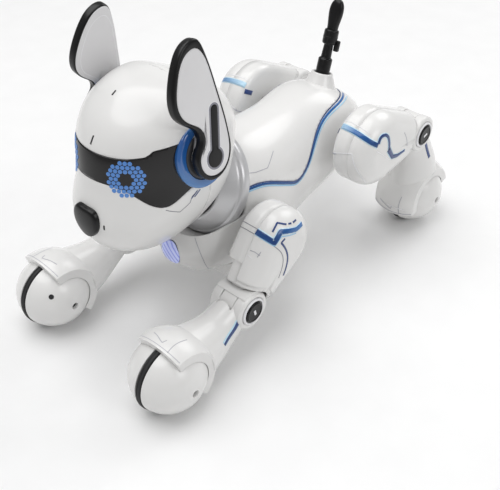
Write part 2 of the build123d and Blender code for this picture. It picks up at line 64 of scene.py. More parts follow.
# name, place and size in metres, watts
LIGHTS = [
    ("key", (-0.35, -0.25, 1.5), 1.7, 18), ("side", (1.3, 0.1, 0.9), 0.7, 4), ("back", (0.1, 1.2, 1.1), 1, 6),
]
SKY_STRENGTH = 0.36
FLOOR_HALF = 6


def aimed(name, data, place, look):
    """Put a camera or a light in the scene, looking along a direction."""
    obj = bpy.data.objects.new(name, data)
    obj.location = place
    obj.rotation_euler = Vector(look).to_track_quat("-Z", "Y").to_euler()
    bpy.context.scene.collection.objects.link(obj)
    return obj


def make_camera():
    data = bpy.data.cameras.new("camera")
    data.lens = LENS
    data.sensor_width = SENSOR
    bpy.context.scene.camera = aimed("camera", data, CAMERA_PLACE, CAMERA_LOOK)


def area_light(name, place, size, watts):
    data = bpy.data.lights.new(name, "AREA")
    data.shape = "DISK"
    data.size = size
    data.energy = watts
    aimed(name, data, place, Vector(LIGHT_TARGET) - Vector(place))


# ---- materials ----
TONE_SCALE = 38.0
GRAIN_DEPTH = 0.0002


def material_of(name):
    mat = bpy.data.materials.new(name)
    mat.use_nodes = True
    return mat, mat.node_tree.nodes["Principled BSDF"]


def plug(mat, node, inputs):
    """Set a node's inputs to values, or link them to other nodes' outputs."""
    for key, value in inputs.items():
        if isinstance(value, bpy.types.NodeSocket):
            mat.node_tree.links.new(value, node.inputs[key])
        else:
            node.inputs[key].default_value = value


def added(mat, kind, inputs, **settings):
    node = mat.node_tree.nodes.new(kind)
    for key, value in settings.items():
        setattr(node, key, value)
    plug(mat, node, inputs)
    return node


def coordinates(mat):
    return added(mat, "ShaderNodeTexCoord", {}).outputs["Object"]


def ramp(mat, value, stops):
    node = added(mat, "ShaderNodeValToRGB", {"Fac": value})
    while len(node.color_ramp.elements) < len(stops):
        node.color_ramp.elements.new(0.5)
    for element, (at, colour) in zip(node.color_ramp.elements, stops):
        element.position = at
        element.color = (*colour, 1)
    return node.outputs["Color"]


def noise(mat, scale, detail=3.0):
    inputs = {"Scale": scale, "Detail": detail, "Vector": coordinates(mat)}
    return added(mat, "ShaderNodeTexNoise", inputs).outputs["Fac"]


def uneven(mat, rough, spread, scale, detail):
    """Roughness that wanders between two shares of a value."""
    inputs = {"To Min": rough * spread[0], "To Max": rough * spread[1], "Value": noise(mat, scale, detail)}
    return added(mat, "ShaderNodeMapRange", inputs).outputs["Result"]


def glow(emission):
    return {"Emission Color": (*emission[0], 1), "Emission Strength": emission[1]} if emission else {}


def moulded(name, dark, light, rough, grain=0.03, grain_scale=2600.0, coat=0.0, metallic=0.0, specular=0.5,
            emission=None):
    """Moulded surface: faint uneven tone, uneven gloss and a fine grain."""
    mat, shader = material_of(name)
    bump = added(mat, "ShaderNodeBump",
                 {"Strength": grain, "Distance": GRAIN_DEPTH, "Height": noise(mat, grain_scale, 2)})
    plug(mat, shader, {
        "Base Color": ramp(mat, noise(mat, TONE_SCALE), [(0.3, dark), (0.7, light)]),
        "Roughness": uneven(mat, rough, (0.93, 1.08), 150, 5),
        "Normal": bump.outputs["Normal"], "Coat Weight": coat, "Coat Roughness": 0.08, "Metallic": metallic,
        "Specular IOR Level": specular, **glow(emission)})
    return mat


def graded(name, origin, direction, stops, rough=0.25, coat=0.3, emission=None):
    """Plastic or paint whose colour runs along a direction: stops are (distance in mm, colour)."""
    mat, shader = material_of(name)
    first, last = stops[0][0], stops[-1][0]
    shift = added(mat, "ShaderNodeVectorMath", {0: coordinates(mat), 1: [v * MM for v in origin]},
                  operation="SUBTRACT")
    way = Vector(direction).normalized()
    along = added(mat, "ShaderNodeVectorMath", {0: shift.outputs["Vector"], 1: way}, operation="DOT_PRODUCT")
    fit = added(mat, "ShaderNodeMapRange",
                {"From Min": first * MM, "From Max": last * MM, "Value": along.outputs["Value"]})
    fitted = [((at - first) / (last - first), colour) for at, colour in stops]
    plug(mat, shader, {
        "Base Color": ramp(mat, fit.outputs["Result"], fitted),
        "Roughness": uneven(mat, rough, (0.8, 1.2), 170, 4), "Coat Weight": coat, **glow(emission)})
    return mat


def board_material():
    """Circuit board: green lacquer with paler tracks."""
    mat, shader = material_of("circuit_board")
    brick = added(mat, "ShaderNodeTexBrick", {
        "Scale": 260, "Color1": (0.01, 0.12, 0.04, 1), "Color2": (0.012, 0.16, 0.05, 1),
        "Mortar": (0.06, 0.34, 0.12, 1), "Vector": coordinates(mat)})
    plug(mat, shader, {"Base Color": brick.outputs["Color"], "Roughness": noise(mat, 300)})
    return mat


def lamp_material():
    """Milky lilac lens with darker ribs across it."""
    mat, shader = material_of("chest_lens")
    wave = added(mat, "ShaderNodeTexWave", {"Scale": 150, "Distortion": 1.5, "Vector": coordinates(mat)},
                 bands_direction="DIAGONAL")
    tone = ramp(mat, wave.outputs["Fac"], [(0, (0.25, 0.3, 0.72)), (0.55, (0.52, 0.57, 0.93))])
    plug(mat, shader, {"Base Color": tone, "Emission Color": tone, "Emission Strength": 0.25,
                       "Roughness": 0.2, "Coat Weight": 0.5})
    return mat


WHITE = (0.8, 0.795, 0.785)
# look: material and the name of its slot
LOOKS = {
    "white": (moulded("white_shell", (0.785, 0.78, 0.77), WHITE, 0.26, coat=0.25), "white_shell"),
    "ear_white": (moulded("ear_white", (0.72, 0.715, 0.725), (0.76, 0.755, 0.765), 0.3, coat=0.2),
                  "ear_plate"),
    "black": (moulded("black_gloss", (0.003, 0.003, 0.0035), (0.005, 0.005, 0.0055), 0.28, specular=0.32),
              "black_gloss"),
    "visor": (moulded("visor", (0.005, 0.0045, 0.005), (0.011, 0.010, 0.0105), 0.13, grain=0.0,
                      specular=0.38), "black_gloss"),
    "tyre": (moulded("tyre_rubber", (0.012, 0.012, 0.013), (0.022, 0.022, 0.024), 0.62, 0.25, 1500), "tyre"),
    "dark": (moulded("dark_plastic", (0.03, 0.03, 0.033), (0.05, 0.05, 0.055), 0.5, 0.1), "dark_plastic"),
    "silver": (moulded("silver_paint", (0.58, 0.58, 0.59), (0.64, 0.64, 0.65), 0.32, 0.02, metallic=0.4),
               "silver"),
    "steel": (moulded("zinc_steel", (0.42, 0.42, 0.42), (0.56, 0.56, 0.55), 0.35, 0.08, metallic=1), "steel"),
    "sleeve": (moulded("cell_sleeve", (0.06, 0.08, 0.26), (0.09, 0.12, 0.34), 0.3), "cell_sleeve"),
    # groove and faint: grey bands for engraved lines and seams, their darkness painted shade inside the
    # grooves
    "groove": (moulded("groove", (0.2, 0.2, 0.23), (0.27, 0.27, 0.31), 0.5), "white_shell"),
    "faint": (moulded("soft_groove", (0.4, 0.4, 0.44), (0.48, 0.48, 0.53), 0.5), "white_shell"),
    # ridge: lighter than the shell, painted highlight on raised seams, rims and marks
    "ridge": (moulded("ridge", (0.84, 0.84, 0.86), (0.88, 0.88, 0.9), 0.3, coat=0.3), "white_shell"),
    "navy": (moulded("navy_line", (0.008, 0.035, 0.16), (0.012, 0.05, 0.21), 0.3, coat=0.3), "white_shell"),
    # slot: near-black for slots and holes, painted shade inside them
    "slot": (moulded("slot_shade", (0.01, 0.01, 0.012), (0.02, 0.02, 0.022), 0.6), "black_gloss"),
    "dots": (moulded("eye_dots", (0.06, 0.17, 0.42), (0.08, 0.21, 0.5), 0.35,
                     emission=((0.05, 0.15, 0.42), 0.3)), "eye_dots"),
    "ice": (moulded("ice_line", (0.5, 0.72, 0.86), (0.58, 0.78, 0.9), 0.3, coat=0.3), "white_shell"),
    "lamp": (lamp_material(), "lamp_lens"),
    "board": (board_material(), "circuit_board"),
}


# ---- curves and meshes ----
OPEN, CLOSED = (False, False), (True, True)
SIDES = ((1, "L"), (-1, "R"))
RIBBON_STEP, RIBBON_WALL = 0.7, 0.2
WALL, LENS_WALL, VISOR_WALL, CUFF_WALL, SHANK_WALL = 1.8, 1.5, 1.5, 1.2, 1.6
SHELL_RINGS, EAR_POINTS = 150, 220


def spline(points, count, closed=False):
    """Points evenly along the smooth curve through the given ones, in any number of dimensions."""
    p = np.array(points, float)
    if closed:
        p = np.vstack([p, p[:1]])
    step = norm(np.diff(p, axis=0), axis=1)
    knots = np.concatenate([[0], np.cumsum(step)])
    slope = np.diff(p, axis=0) / step[:, None]
    n = len(p)
    a = np.zeros((n, n))
    right = np.zeros_like(p)
    for k in range(1, n - 1):
        a[k, k - 1:k + 2] = (step[k - 1], 2 * (step[k - 1] + step[k]), step[k])
        right[k] = 6 * (slope[k] - slope[k - 1])
    if closed:
        a[0, 0], a[0, -1] = 1, -1
        a[-1, 0], a[-1, 1] = 2 * step[0], step[0]
        a[-1, -2], a[-1, -1] = step[-1], 2 * step[-1]
        right[-1] = 6 * (slope[0] - slope[-1])
    else:
        a[0, 0] = a[-1, -1] = 1
    bend = np.linalg.solve(a, right)
    t = np.linspace(0, knots[-1], count, endpoint=not closed)
    k = np.clip(np.searchsorted(knots, t, side="right") - 1, 0, n - 2)
    h = step[k][:, None]
    u = ((knots[k + 1] - t) / step[k])[:, None]
    v = 1 - u
    return u * p[k] + v * p[k + 1] + ((u ** 3 - u) * bend[k] + (v ** 3 - v) * bend[k + 1]) * h * h / 6


def round_turns(count):
    return np.arange(count) * 2 * pi / count


def ring_of(x, y, z):
    """Points from three coordinates, each an array or one number."""
    return np.column_stack(np.broadcast_arrays(x, y, z))


def loft(rings, caps=CLOSED):
    """Skin over closed rings of equal length; each capped end is closed by a fan."""
    n = len(rings[0])
    verts = np.vstack(rings)
    faces = []
    for r in range(len(rings) - 1):
        for k in range(n):
            m = (k + 1) % n
            faces.append((r * n + k, r * n + m, (r + 1) * n + m, (r + 1) * n + k))
    for end, ring_at in ((0, 0), (1, len(rings) - 1)):
        if caps[end]:
            centre = len(verts)
            verts = np.vstack([verts, rings[ring_at].mean(axis=0)[None]])
            faces += [(ring_at * n + k, ring_at * n + (k + 1) % n, centre) for k in range(n)]
    return verts, faces


def revolve(profile, count, caps=OPEN):
    """(radius, height) points turned about +Z."""
    turns = round_turns(count)
    return loft([ring_of(r * np.cos(turns), r * np.sin(turns), z) for r, z in profile], caps)


def domed(rings, axis, first, last):
    """Rings with a low dome added at each end; first and last are its heights along an axis."""
    for end, rise in ((0, first), (-1, last)):
        rim = rings[end]
        middle = rim.mean(axis=0)
        up = rise * np.eye(3)[axis]
        dome = [middle + (rim - middle) * k + up * (1 - k * k) for k in (0.8, 0.5, 0.2)]
        rings = dome[::-1] + rings if end == 0 else rings + dome
    return rings


def rounded(corners, radius, closed=False, arc=5):
    """A polyline with its corners rounded, all but the two ends of an open one."""
    p = [np.array(c, float) for c in corners]
    out = []
    for k, here in enumerate(p):
        if not closed and k in (0, len(p) - 1):
            out.append(here)
            continue
        back, ahead = p[k - 1] - here, p[(k + 1) % len(p)] - here
        lb, la = norm(back), norm(ahead)
        r = min(radius, 0.45 * lb, 0.45 * la)
        start, end = here + back / lb * r, here + ahead / la * r
        for t in np.linspace(0, 1, arc):
            out.append((1 - t) ** 2 * start + 2 * t * (1 - t) * here + t * t * end)
    return out


def about_x(shape, sign=1, up=0.0):
    """Turn a shape made about +Z so that it lies about +X, or -X, and raise it."""
    verts, faces = shape
    return np.column_stack([verts[:, 2], verts[:, 1], -verts[:, 0]]) * [sign, 1, 1] + [0, 0, up], faces


def joined(*shapes):
    verts, faces = [], []
    base = 0
    for v, f in shapes:
        verts.append(v)
        faces += [tuple(i + base for i in face) for face in f]
        base += len(v)
    return np.vstack(verts), faces


def trimmed(bm, keep):
    """Cut a mesh along keep(points) = 0 and drop the part where it is negative."""
    def values(items):
        return keep(np.array([v.co for v in items], float).reshape(-1, 3))

    bm.verts.ensure_lookup_table()
    bm.verts.index_update()
    value = values(bm.verts)
    fresh = []
    for edge in list(bm.edges):
        a, b = edge.verts
        va, vb = value[a.index], value[b.index]
        if va * vb < 0:
            _, vert = bmesh.utils.edge_split(edge, a, va / (va - vb))
            fresh.append(vert)
    bmesh.ops.connect_verts(bm, verts=fresh)
    faces = list(bm.faces)
    centres = np.array([f.calc_center_median() for f in faces], float).reshape(-1, 3)
    gone = [f for f, v in zip(faces, keep(centres)) if v < 0]
    bmesh.ops.delete(bm, geom=gone, context="FACES")


def bmesh_of(shape):
    verts, faces = shape
    bm = bmesh.new()
    made = [bm.verts.new(v) for v in verts]
    for face in faces:
        if len(set(face)) > 2:
            bm.faces.new([made[i] for i in face])
    return bm


def piece(name, shape, look, body, nodes=(), keep=None, wall=0.0, bevel=0.0, sharp=38.0):
    """An object from (vertices, faces) in millimetres; keep() trims it and wall thickens it inwards."""
    bm = bmesh_of(shape)
    bmesh.ops.remove_doubles(bm, verts=bm.verts, dist=1e-4)
    bmesh.ops.recalc_face_normals(bm, faces=bm.faces)
    if keep:
        trimmed(bm, keep)
    bmesh.ops.scale(bm, vec=(MM, MM, MM), verts=bm.verts)
    for face in bm.faces:
        face.smooth = True
    for edge in bm.edges:
        if len(edge.link_faces) == 2:
            edge.smooth = edge.calc_face_angle(0) < radians(sharp)
    mesh = bpy.data.meshes.new(name)
    bm.to_mesh(mesh)
    bm.free()
    material, slot = LOOKS[look]
    mesh.materials.append(material)
    obj = bpy.data.objects.new(name, mesh)
    bpy.context.scene.collection.objects.link(obj)
    if wall:
        solid = obj.modifiers.new("wall", "SOLIDIFY")
        solid.thickness = wall * MM
        solid.offset = -1
    if bevel:
        soft = obj.modifiers.new("edges", "BEVEL")
        soft.width = bevel * MM
        soft.segments = 3
        soft.limit_method = "ANGLE"
        soft.angle_limit = radians(35)
    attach(obj, body)
    if nodes:
        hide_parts(*nodes)


def surface(*shapes):
    """Search tree over shapes, with their normals outwards."""
    bm = bmesh_of(joined(*shapes))
    bmesh.ops.recalc_face_normals(bm, faces=bm.faces)
    tree = BVHTree.FromBMesh(bm)
    bm.free()
    return tree


def unit_rows(v):
    return v / (norm(v, axis=1)[:, None] + 1e-9)


def ribbon(name, tree, points, width, look, body, lift=0.14, smooth=True, cols=4, grow=(1, 1)):
    """A painted or engraved line: a thin band laid on a surface along points near it. Engraved lines are
    bands of painted shade, raised lines bands of painted highlight.
    """
    p = np.array(points, float)
    at = np.concatenate([[0], np.cumsum(norm(np.diff(p, axis=0), axis=1))])
    count = max(8, int(at[-1] / RIBBON_STEP))
    if smooth and len(p) > 2:
        path = spline(p, count)
    else:
        want = np.unique(np.concatenate([np.linspace(0, at[-1], count), at]).round(4))
        path = np.column_stack([np.interp(want, at, p[:, k]) for k in range(3)])
    found = [tree.find_nearest(Vector(q)) for q in path]
    place = np.array([f[0] for f in found], float)
    normal = np.array([f[1] for f in found], float)
    side = unit_rows(np.cross(normal, unit_rows(np.gradient(place, axis=0))))
    verts = []
    for q, s, w in zip(place, side, np.linspace(grow[0], grow[1], len(place))):
        for c in np.linspace(-0.5, 0.5, cols):
            hit = tree.find_nearest(Vector(q + s * width * w * c))
            verts.append(np.array(hit[0]) + np.array(hit[1]) * lift)
    faces = []
    for r in range(len(place) - 1):
        for c in range(cols - 1):
            a = r * cols + c
            faces.append((a, a + 1, a + cols + 1, a + cols))
    piece(name, (np.array(verts), faces), look, body, wall=RIBBON_WALL)


def adder(placed, tag, body):
    """A piece() for one link: it places shapes, and adds the link's tag to the names of pieces and nodes."""
    def add(label, shape, look="white", node=None, **more):
        piece(f"{label}_{tag}", placed(shape), look, body, (f"{node}_{tag}",) if node else (), **more)

    return add


def draw_lines(lines, tree, placed, tag, body):
    """Ribbons from rows of label, look, width, lift, curved or not, points in the body's own frame, and for
    some the points across and the shares of the width at both ends."""
    for label, look, width, lift, curved, points, *more in lines:
        points = placed((np.array(points, float), []))[0]
        ribbon(f"{label}_{tag}", tree, points, width, look, body, lift, curved, *more)


def on_side(side):
    """Mirrors a shape to the dog's right for side -1."""
    return lambda shape: (shape[0] * [side, 1, 1], shape[1])


# ---- torso ----
# (y, half width, lowest z, highest z), as in the CAD
TORSO = [
    (-66.5, 8, 40, 52), (-60, 18, 34, 58), (-44, 28, 26, 92), (-24, 33, 21, 104), (0, 32, 24, 104),
    (27, 28.5, 31, 105), (55, 30.5, 43, 107), (75, 27, 54, 99), (88, 19, 61, 90), (95, 8, 69, 81),
]
SEAM = [
    (-60, 78), (-47, 81), (-33, 85), (-19, 84.5), (-8, 80), (2, 75), (12, 71.5), (20, 75), (26, 82), (37, 94),
    (48, 99), (64, 100), (78, 97), (100, 86),
]
SEAM_LINE = spline(SEAM, 200)
SEAM_GAP = 0.2
TORSO_POWER = 2.2
NECK = np.array(joint_mm("head_turn"))
NECK_AXIS = np.array(JOINT["head_turn"]["axis"])
COLLAR_R, COLLAR_LOW = 31, -7.0
LENS_Z, LENS_R = 46, 7.4
BELLY_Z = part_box("battery_cover")[0].z / MM
TORSO_LINES = [
    ("Back_Line", "faint", 0.4, 0.1, False, [
        (22.1, -33.5, 92.8), (25.5, -22, 90.5), (26.4, -13.4, 89.6), (22.3, -3.6, 94.5)]),
    ("Belly_Line", "faint", 0.35, 0.1, True, [(12, -57, 58), (17, -57, 48), (19, -55, 38)]),
]


def power_circle(turns, power):
    c, s = np.cos(turns), np.sin(turns)
    e = 2.0 / power
    return np.sign(c) * np.abs(c) ** e, np.sign(s) * np.abs(s) ** e


def torso_shape():
    c, s = power_circle(round_turns(132) + 0.01, TORSO_POWER)
    rings = [ring_of(half * c, y, (high + low) / 2 + (high - low) / 2 * s)
             for y, half, low, high in spline(TORSO, SHELL_RINGS)]
    return loft(domed(rings, 1, -0.7, 0.7))


def above_seam(p):
    return p[:, 2] - np.interp(p[:, 1], SEAM_LINE[:, 0], SEAM_LINE[:, 1])


def neck_polar(p):
    """Distance from the neck axis and height along it."""
    d = p - NECK
    along = d @ NECK_AXIS
    return norm(d - along[:, None] * NECK_AXIS, axis=1), along


def outside_collar(p):
    radius, along = neck_polar(p)
    return np.maximum(radius - COLLAR_R - 0.4, COLLAR_LOW - along)


def make_torso():
    shape = torso_shape()
    tree = surface(shape)

    def keep_back(p):
        return np.minimum(above_seam(p) - SEAM_GAP, outside_collar(p))

    def keep_belly(p):
        lens = np.maximum(np.hypot(p[:, 0], p[:, 2] - LENS_Z) - LENS_R - 0.4, p[:, 1] + 50)
        return np.minimum.reduce([-above_seam(p) - SEAM_GAP, outside_collar(p), lens])

    piece("Back_Cover", shape, "white", "torso", ("back_shell",), keep_back, wall=WALL)
    piece("Belly_Cover", shape, "white", "torso", ("belly_shell",), keep_belly, wall=WALL)

    # chest lens, following the chest and slightly domed
    rings = []
    for r in (0.6, 2.4, 4.2, 5.6, 6.6, 7.1, LENS_R):
        ring = []
        for t in round_turns(48):
            hit = tree.ray_cast(Vector((r * cos(t), -90, LENS_Z + r * sin(t))), Vector((0, 1, 0)))[0]
            ring.append((hit.x, hit.y - 0.9 * (1 - (r / LENS_R) ** 4), hit.z))
        rings.append(np.array(ring))
    piece("Chest_Lens", loft(rings, (True, False)), "lamp", "torso", ("chest_lamp",), wall=LENS_WALL)

    # three lines along the seam, as far as the legs leave it in sight, and engraved lines drawn as bands of
    # painted shade
    inner = [k for k in range(1, len(SEAM_LINE) - 1) if -42 <= SEAM_LINE[k][0] <= 79]
    for side, name in SIDES:
        for label, below, width, look in (("Blue", 1.1, 1.5, "stripe"), ("Light", 2.3, 0.9, "stripe_pale"),
                                          ("Navy", 0.1, 0.5, "navy")):
            line = []
            for k in inner[::3]:
                ahead = SEAM_LINE[k + 1] - SEAM_LINE[k - 1]
                ahead /= hypot(*ahead)
                y, z = SEAM_LINE[k] + below * np.array([ahead[1], -ahead[0]])
                hit = tree.ray_cast(Vector((60 * side, y, z)), Vector((-side, 0, 0)))[0]
                if hit is not None:
                    line.append(tuple(hit))
            ribbon(f"Seam_{label}_{name}", tree, line, width, look, "torso", 0.14, smooth=False)
        draw_lines(TORSO_LINES, tree, on_side(side), name, "torso")


def rectangle(half_x, half_y, radius, y=0.0):
    corners = [(half_x, half_y), (-half_x, half_y), (-half_x, -half_y), (half_x, -half_y)]
    return np.array(rounded(corners, radius, closed=True, arc=8)) + [0, y]


def rounded_box(size, centre, radius):
    """Box with rounded upright edges and softened rims."""
    w, d, h = (v / 2 for v in size)
    outline = rectangle(w, d, radius)
    soft = min(0.6, h * 0.4)
    steps = [(soft, 0), (soft * 0.3, soft * 0.3), (0, soft)]
    rings = []
    for sign, order in ((-1, steps), (1, steps[::-1])):
        for inset, up in order:
            flat = outline * [1 - inset / w, 1 - inset / d]
            rings.append(ring_of(flat[:, 0], flat[:, 1], sign * (h - up)))
    verts, faces = loft(rings)
    return verts + np.array(centre), faces


def make_belly():
    """Flat belly frame with the battery door in it."""
    low, high = (np.array(v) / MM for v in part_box("battery_cover"))
    middle = (low + high) / 2
    size = high - low
    outer = rectangle(19, 26.5, 6, -11.5)
    inner = rectangle(16.2, 18.7, 2, middle[1])
    top = 28.5
    steps = [(outer, top), (outer, BELLY_Z + 0.7), (outer * [0.985, 0.99] + [0, -0.1], BELLY_Z),
             (inner * [1.015, 1.01], BELLY_Z), (inner, BELLY_Z + 0.5), (inner, top), (outer, top)]
    rings = [ring_of(flat[:, 0], flat[:, 1], z) for flat, z in steps]
    piece("Belly_Frame", loft(rings, OPEN), "white", "torso", sharp=50)
    door = rounded_box((size[0] - 0.2, size[1] - 0.2, size[2]), (0, middle[1], middle[2]), 1.8)
    piece("Battery_Door", door, "white", "torso", ("battery_cover",), sharp=50)


def inside_torso(p):
    """How far points lie inside the torso, about in millimetres."""
    rows = spline(TORSO, SHELL_RINGS)
    half, low, high = (np.interp(p[:, 1], rows[:, 0], rows[:, k]) for k in (1, 2, 3))
    middle, rise = (low + high) / 2, (high - low) / 2
    across, upright = np.abs(p[:, 0]) / half, np.abs(p[:, 2] - middle) / rise
    return 14 * (1 - across ** TORSO_POWER - upright ** TORSO_POWER)


def make_collar():
    """Neck collar, and the wall of the bore that it sits in."""
    bore = revolve([(COLLAR_R + 0.45, z) for z in np.linspace(COLLAR_LOW, 24, 32)], 144)
    piece("Collar_Socket", from_neck(bore), "white", "torso", keep=lambda p: inside_torso(p) - 0.3)
    profile = rounded([(26, -3.2), (29.2, -5.6), (30.7, -5.2), (30.9, -1.2), (29.9, 0.7), (28.6, 0.9),
                       (28, 2), (21.6, 9.4), (19.8, 9.4), (25.6, -2.6)], 1)
    disc = [(0.5, -6.4), (12, -6.4), (29, -6.4), (29, -3.6), (12, -3.6), (0.5, -3.6)]
    shape = joined(revolve(profile, 144), revolve(disc, 96, CLOSED))
    piece("Neck_Collar", from_neck(shape), "silver", "torso", ("neck_collar",))


def from_neck(shape):
    """Out of the neck's own frame, where +Z runs to the head."""
    verts, faces = shape
    turn = Vector((0, 0, 1)).rotation_difference(Vector(NECK_AXIS)).to_matrix()
    return verts @ np.array(turn).T + NECK, faces


TAIL_LEAN = (0, 0.2756, 0.9613)


def make_tail():
    pivot = np.array(joint_mm("tail_wag"))
    turn = np.array(Vector((0, 0, 1)).rotation_difference(Vector(TAIL_LEAN)).to_matrix())

    def placed(shape):
        return shape[0] @ turn.T + pivot, shape[1]

    boss = rounded([(4.9, -1.4), (5.2, 1.2), (6.6, 1.3), (7.4, -1), (9.6, -6), (12.9, -12.2)], 1.4)
    piece("Tail_Boss", placed(revolve(boss, 72)), "white", "torso", ("tail_boss",))
    stem = rounded([(0.2, -4.4), (3.4, -3), (4.5, 0), (4.3, 2.6), (4.4, 3.2), (4.4, 9.6), (3.9, 10.2),
                    (3.2, 10.6), (3.1, 14), (2.9, 18.4), (3.2, 18.8), (4.3, 19.2), (4.5, 20), (4.5, 27),
                    (4, 27.8), (0.2, 27.9)], 0.5)
    tab = rounded_box((3.2, 3.2, 6.6), (4.4, 2.4, 18.6), 1.2)
    ring = revolve(rounded([(4.4, 22.6), (4.62, 22.8), (4.62, 23.6), (4.4, 23.8)], 0.1), 48)
    piece("Tail_Stem", placed(joined(revolve(stem, 64, CLOSED), tab, ring)), "black", "tail",
          ("tail_stem",))
    blade = [(27, 3.3, 2.4), (30, 3.5, 2.5), (35, 4.3, 2.6), (39.5, 4.6, 2.6), (43, 3.9, 2.3),
             (45.2, 2.4, 1.5), (46.2, 0.5, 0.4)]
    c, s = power_circle(round_turns(36), 2.8)
    rings = [ring_of(w * c, t * s, z) for z, w, t in spline(blade, 26)]
    piece("Tail_Blade", placed(loft(rings)), "black", "tail", ("tail_blade",))


# ---- head ----
# (z, front y, rear y, y of the widest place, half width, bluntness of the front), as in the CAD
HEAD = [
    (61, -82, -70, -79, 3, 2), (65, -93, -56, -75, 9, 2), (74, -107, -43, -71, 17, 2.2),
    (86, -117, -34, -69, 25.6, 2.5), (100, -118.5, -29, -67, 32, 2.5), (115, -115, -26, -66, 34.5, 2.1),
    (130, -112, -27, -65, 36, 2.1), (143, -106, -34, -65, 35, 2.1), (152, -97, -45, -67, 28.5, 2),
    (158, -87, -57, -67, 19, 2), (160.5, -76, -62, -68, 7, 2),
]
# (y, z) along the upper and the lower edge of the visor
VISOR_TOP = np.array([(-130, 134), (-105, 134.4), (-98.6, 135.4), (-97, 136.4), (-95, 138), (-83, 139.3),
                      (-60, 140)])
VISOR_LOW = spline([(-130, 120.9), (-118, 120.9), (-111, 120.2), (-101.6, 111.4), (-96, 107.4), (-92, 106.4),
                    (-85, 108.7), (-75.5, 113.4), (-60, 118)], 60)
HEAD_POWER = 2.0
SPLIT_Y = -65.0
VISOR_GAP = 0.22
NECK_GAP = 1.2


def head_shape():
    turns = pi / 2 + round_turns(144)
    c0, s0 = power_circle(turns, HEAD_POWER)
    rings = []
    for z, front, rear, wide, half, power in spline(HEAD, SHELL_RINGS):
        c, s = power_circle(turns, power)
        x = np.where(s0 < 0, c, c0) * half
        y = wide + np.where(s0 < 0, s * (wide - front), s0 * (rear - wide))
        rings.append(ring_of(x, y, z))
    return loft(domed(rings, 2, -0.5, 0.4))


def above_visor(p):
    return p[:, 2] - np.interp(p[:, 1], VISOR_TOP[:, 0], VISOR_TOP[:, 1])


def below_visor(p):
    return np.interp(p[:, 1], VISOR_LOW[:, 0], VISOR_LOW[:, 1]) - p[:, 2]


def off_neck(p):
    return neck_polar(p)[1] - NECK_GAP


def front_half(p):
    return np.minimum(SPLIT_Y - p[:, 1], off_neck(p))


def make_head():
    shape = head_shape()
    tree = surface(shape)
    for label, look, node, wall, keep in (
            ("Head_Top", "white", "head_crown", WALL,
             lambda p: np.minimum(above_visor(p) - VISOR_GAP, front_half(p))),
            ("Muzzle", "white", "muzzle", WALL,
             lambda p: np.minimum(below_visor(p) - VISOR_GAP, front_half(p))),
            ("Head_Rear", "white", "head_rear", WALL,
             lambda p: np.minimum(p[:, 1] - SPLIT_Y - 0.12, off_neck(p))),
            ("Visor", "visor", "visor", VISOR_WALL,
             lambda p: np.minimum(SPLIT_Y - 2 - p[:, 1], -np.maximum(above_visor(p), below_visor(p))))):
        piece(label, shape, look, "head", (node,), keep, wall)

    # sleeve that closes the head behind, from the edge of its shells in to the collar's cone
    turns = round_turns(120)
    spokes = from_neck((np.vstack([[0, 0, 1.3], ring_of(np.cos(turns), np.sin(turns), 1.3)]), []))[0]
    start = Vector(spokes[0])
    reach = [(tree.ray_cast(start, Vector(way))[0] - start).length - 0.9 for way in spokes[1:] - spokes[0]]
    rings = []
    for radius, up in ((60, 1.35), (31.2, 1.4), (30.6, 1.7), (27, 5.5), (22.3, 10.8), (22.1, 16)):
        r = np.minimum(reach, radius)
        rings.append(ring_of(r * np.cos(turns), r * np.sin(turns), up))
    piece("Neck_Sleeve", from_neck(loft(rings, OPEN)), "silver", "head")
    return tree


def make_nose():
    """Rounded eight-cornered nose with a crowned face."""
    corners = [(-8.8, 3.4), (-6.4, 7.8), (0, 8.6), (6.4, 7.8), (8.8, 3.4), (5.8, -5.5), (0, -8.6),
               (-5.8, -5.5)]
    outline = spline(corners, 96, closed=True)
    low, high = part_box("nose")
    front, middle = low.y / MM, (low.z + high.z) / 2 / MM
    rings = []
    for scale, back in ((1, 6), (1, 1.7), (0.985, 1), (0.95, 0.5), (0.88, 0.22), (0.75, 0.1), (0.5, 0.03),
                        (0.2, 0)):
        x, z = outline[:, 0] * scale, outline[:, 1] * scale
        crown = 0.012 * (x * x + z * z) if back < 5 else 0
        rings.append(ring_of(x, front + back + crown, middle + z))
    piece("Nose", loft(rings), "black", "head", ("nose",))


FACE_LINES = [
    ("Slot_Nose", "slot", 0.8, 0.12, True, [(11.3, -117.4, 99.4), (11.3, -117.4, 96.8)]),
    ("Cheek_Line", "groove", 0.35, 0.1, False, [
        (30, -93, 104.8), (30.6, -90.9, 103.4), (31.1, -84.8, 99.9), (32.4, -78.9, 103), (32.9, -77.8, 106.8),
        (33.4, -74, 108.9)]),
]


def make_face_lines(tree):
    # slots in the head drawn as near-black bands of painted shade
    ribbon("Slot_Forehead", tree, [(-0.6, -108, 141.4), (-1, -109.5, 137)], 0.9, "slot", "head", 0.12)
    ribbon("Slot_Top", tree, [(-2.8, -89, 155.6), (-2.8, -91.6, 154.4)], 0.9, "slot", "head", 0.12)
    for side, name in SIDES:
        draw_lines(FACE_LINES, tree, on_side(side), name, "head")
        for k, shift in enumerate((0, 2)):
            slash = [(side * 33, -78.2 + shift, 105.4), (side * 33.4, -74.6 + shift, 108.6)]
            ribbon(f"Cheek_Slash_{name}{k}", tree, slash, 0.7, "navy", "head", 0.12)


DOT_PITCH, DOT_R = 2.4, 1.07
PUPIL_R, EYE_R = 2.6, 8.9


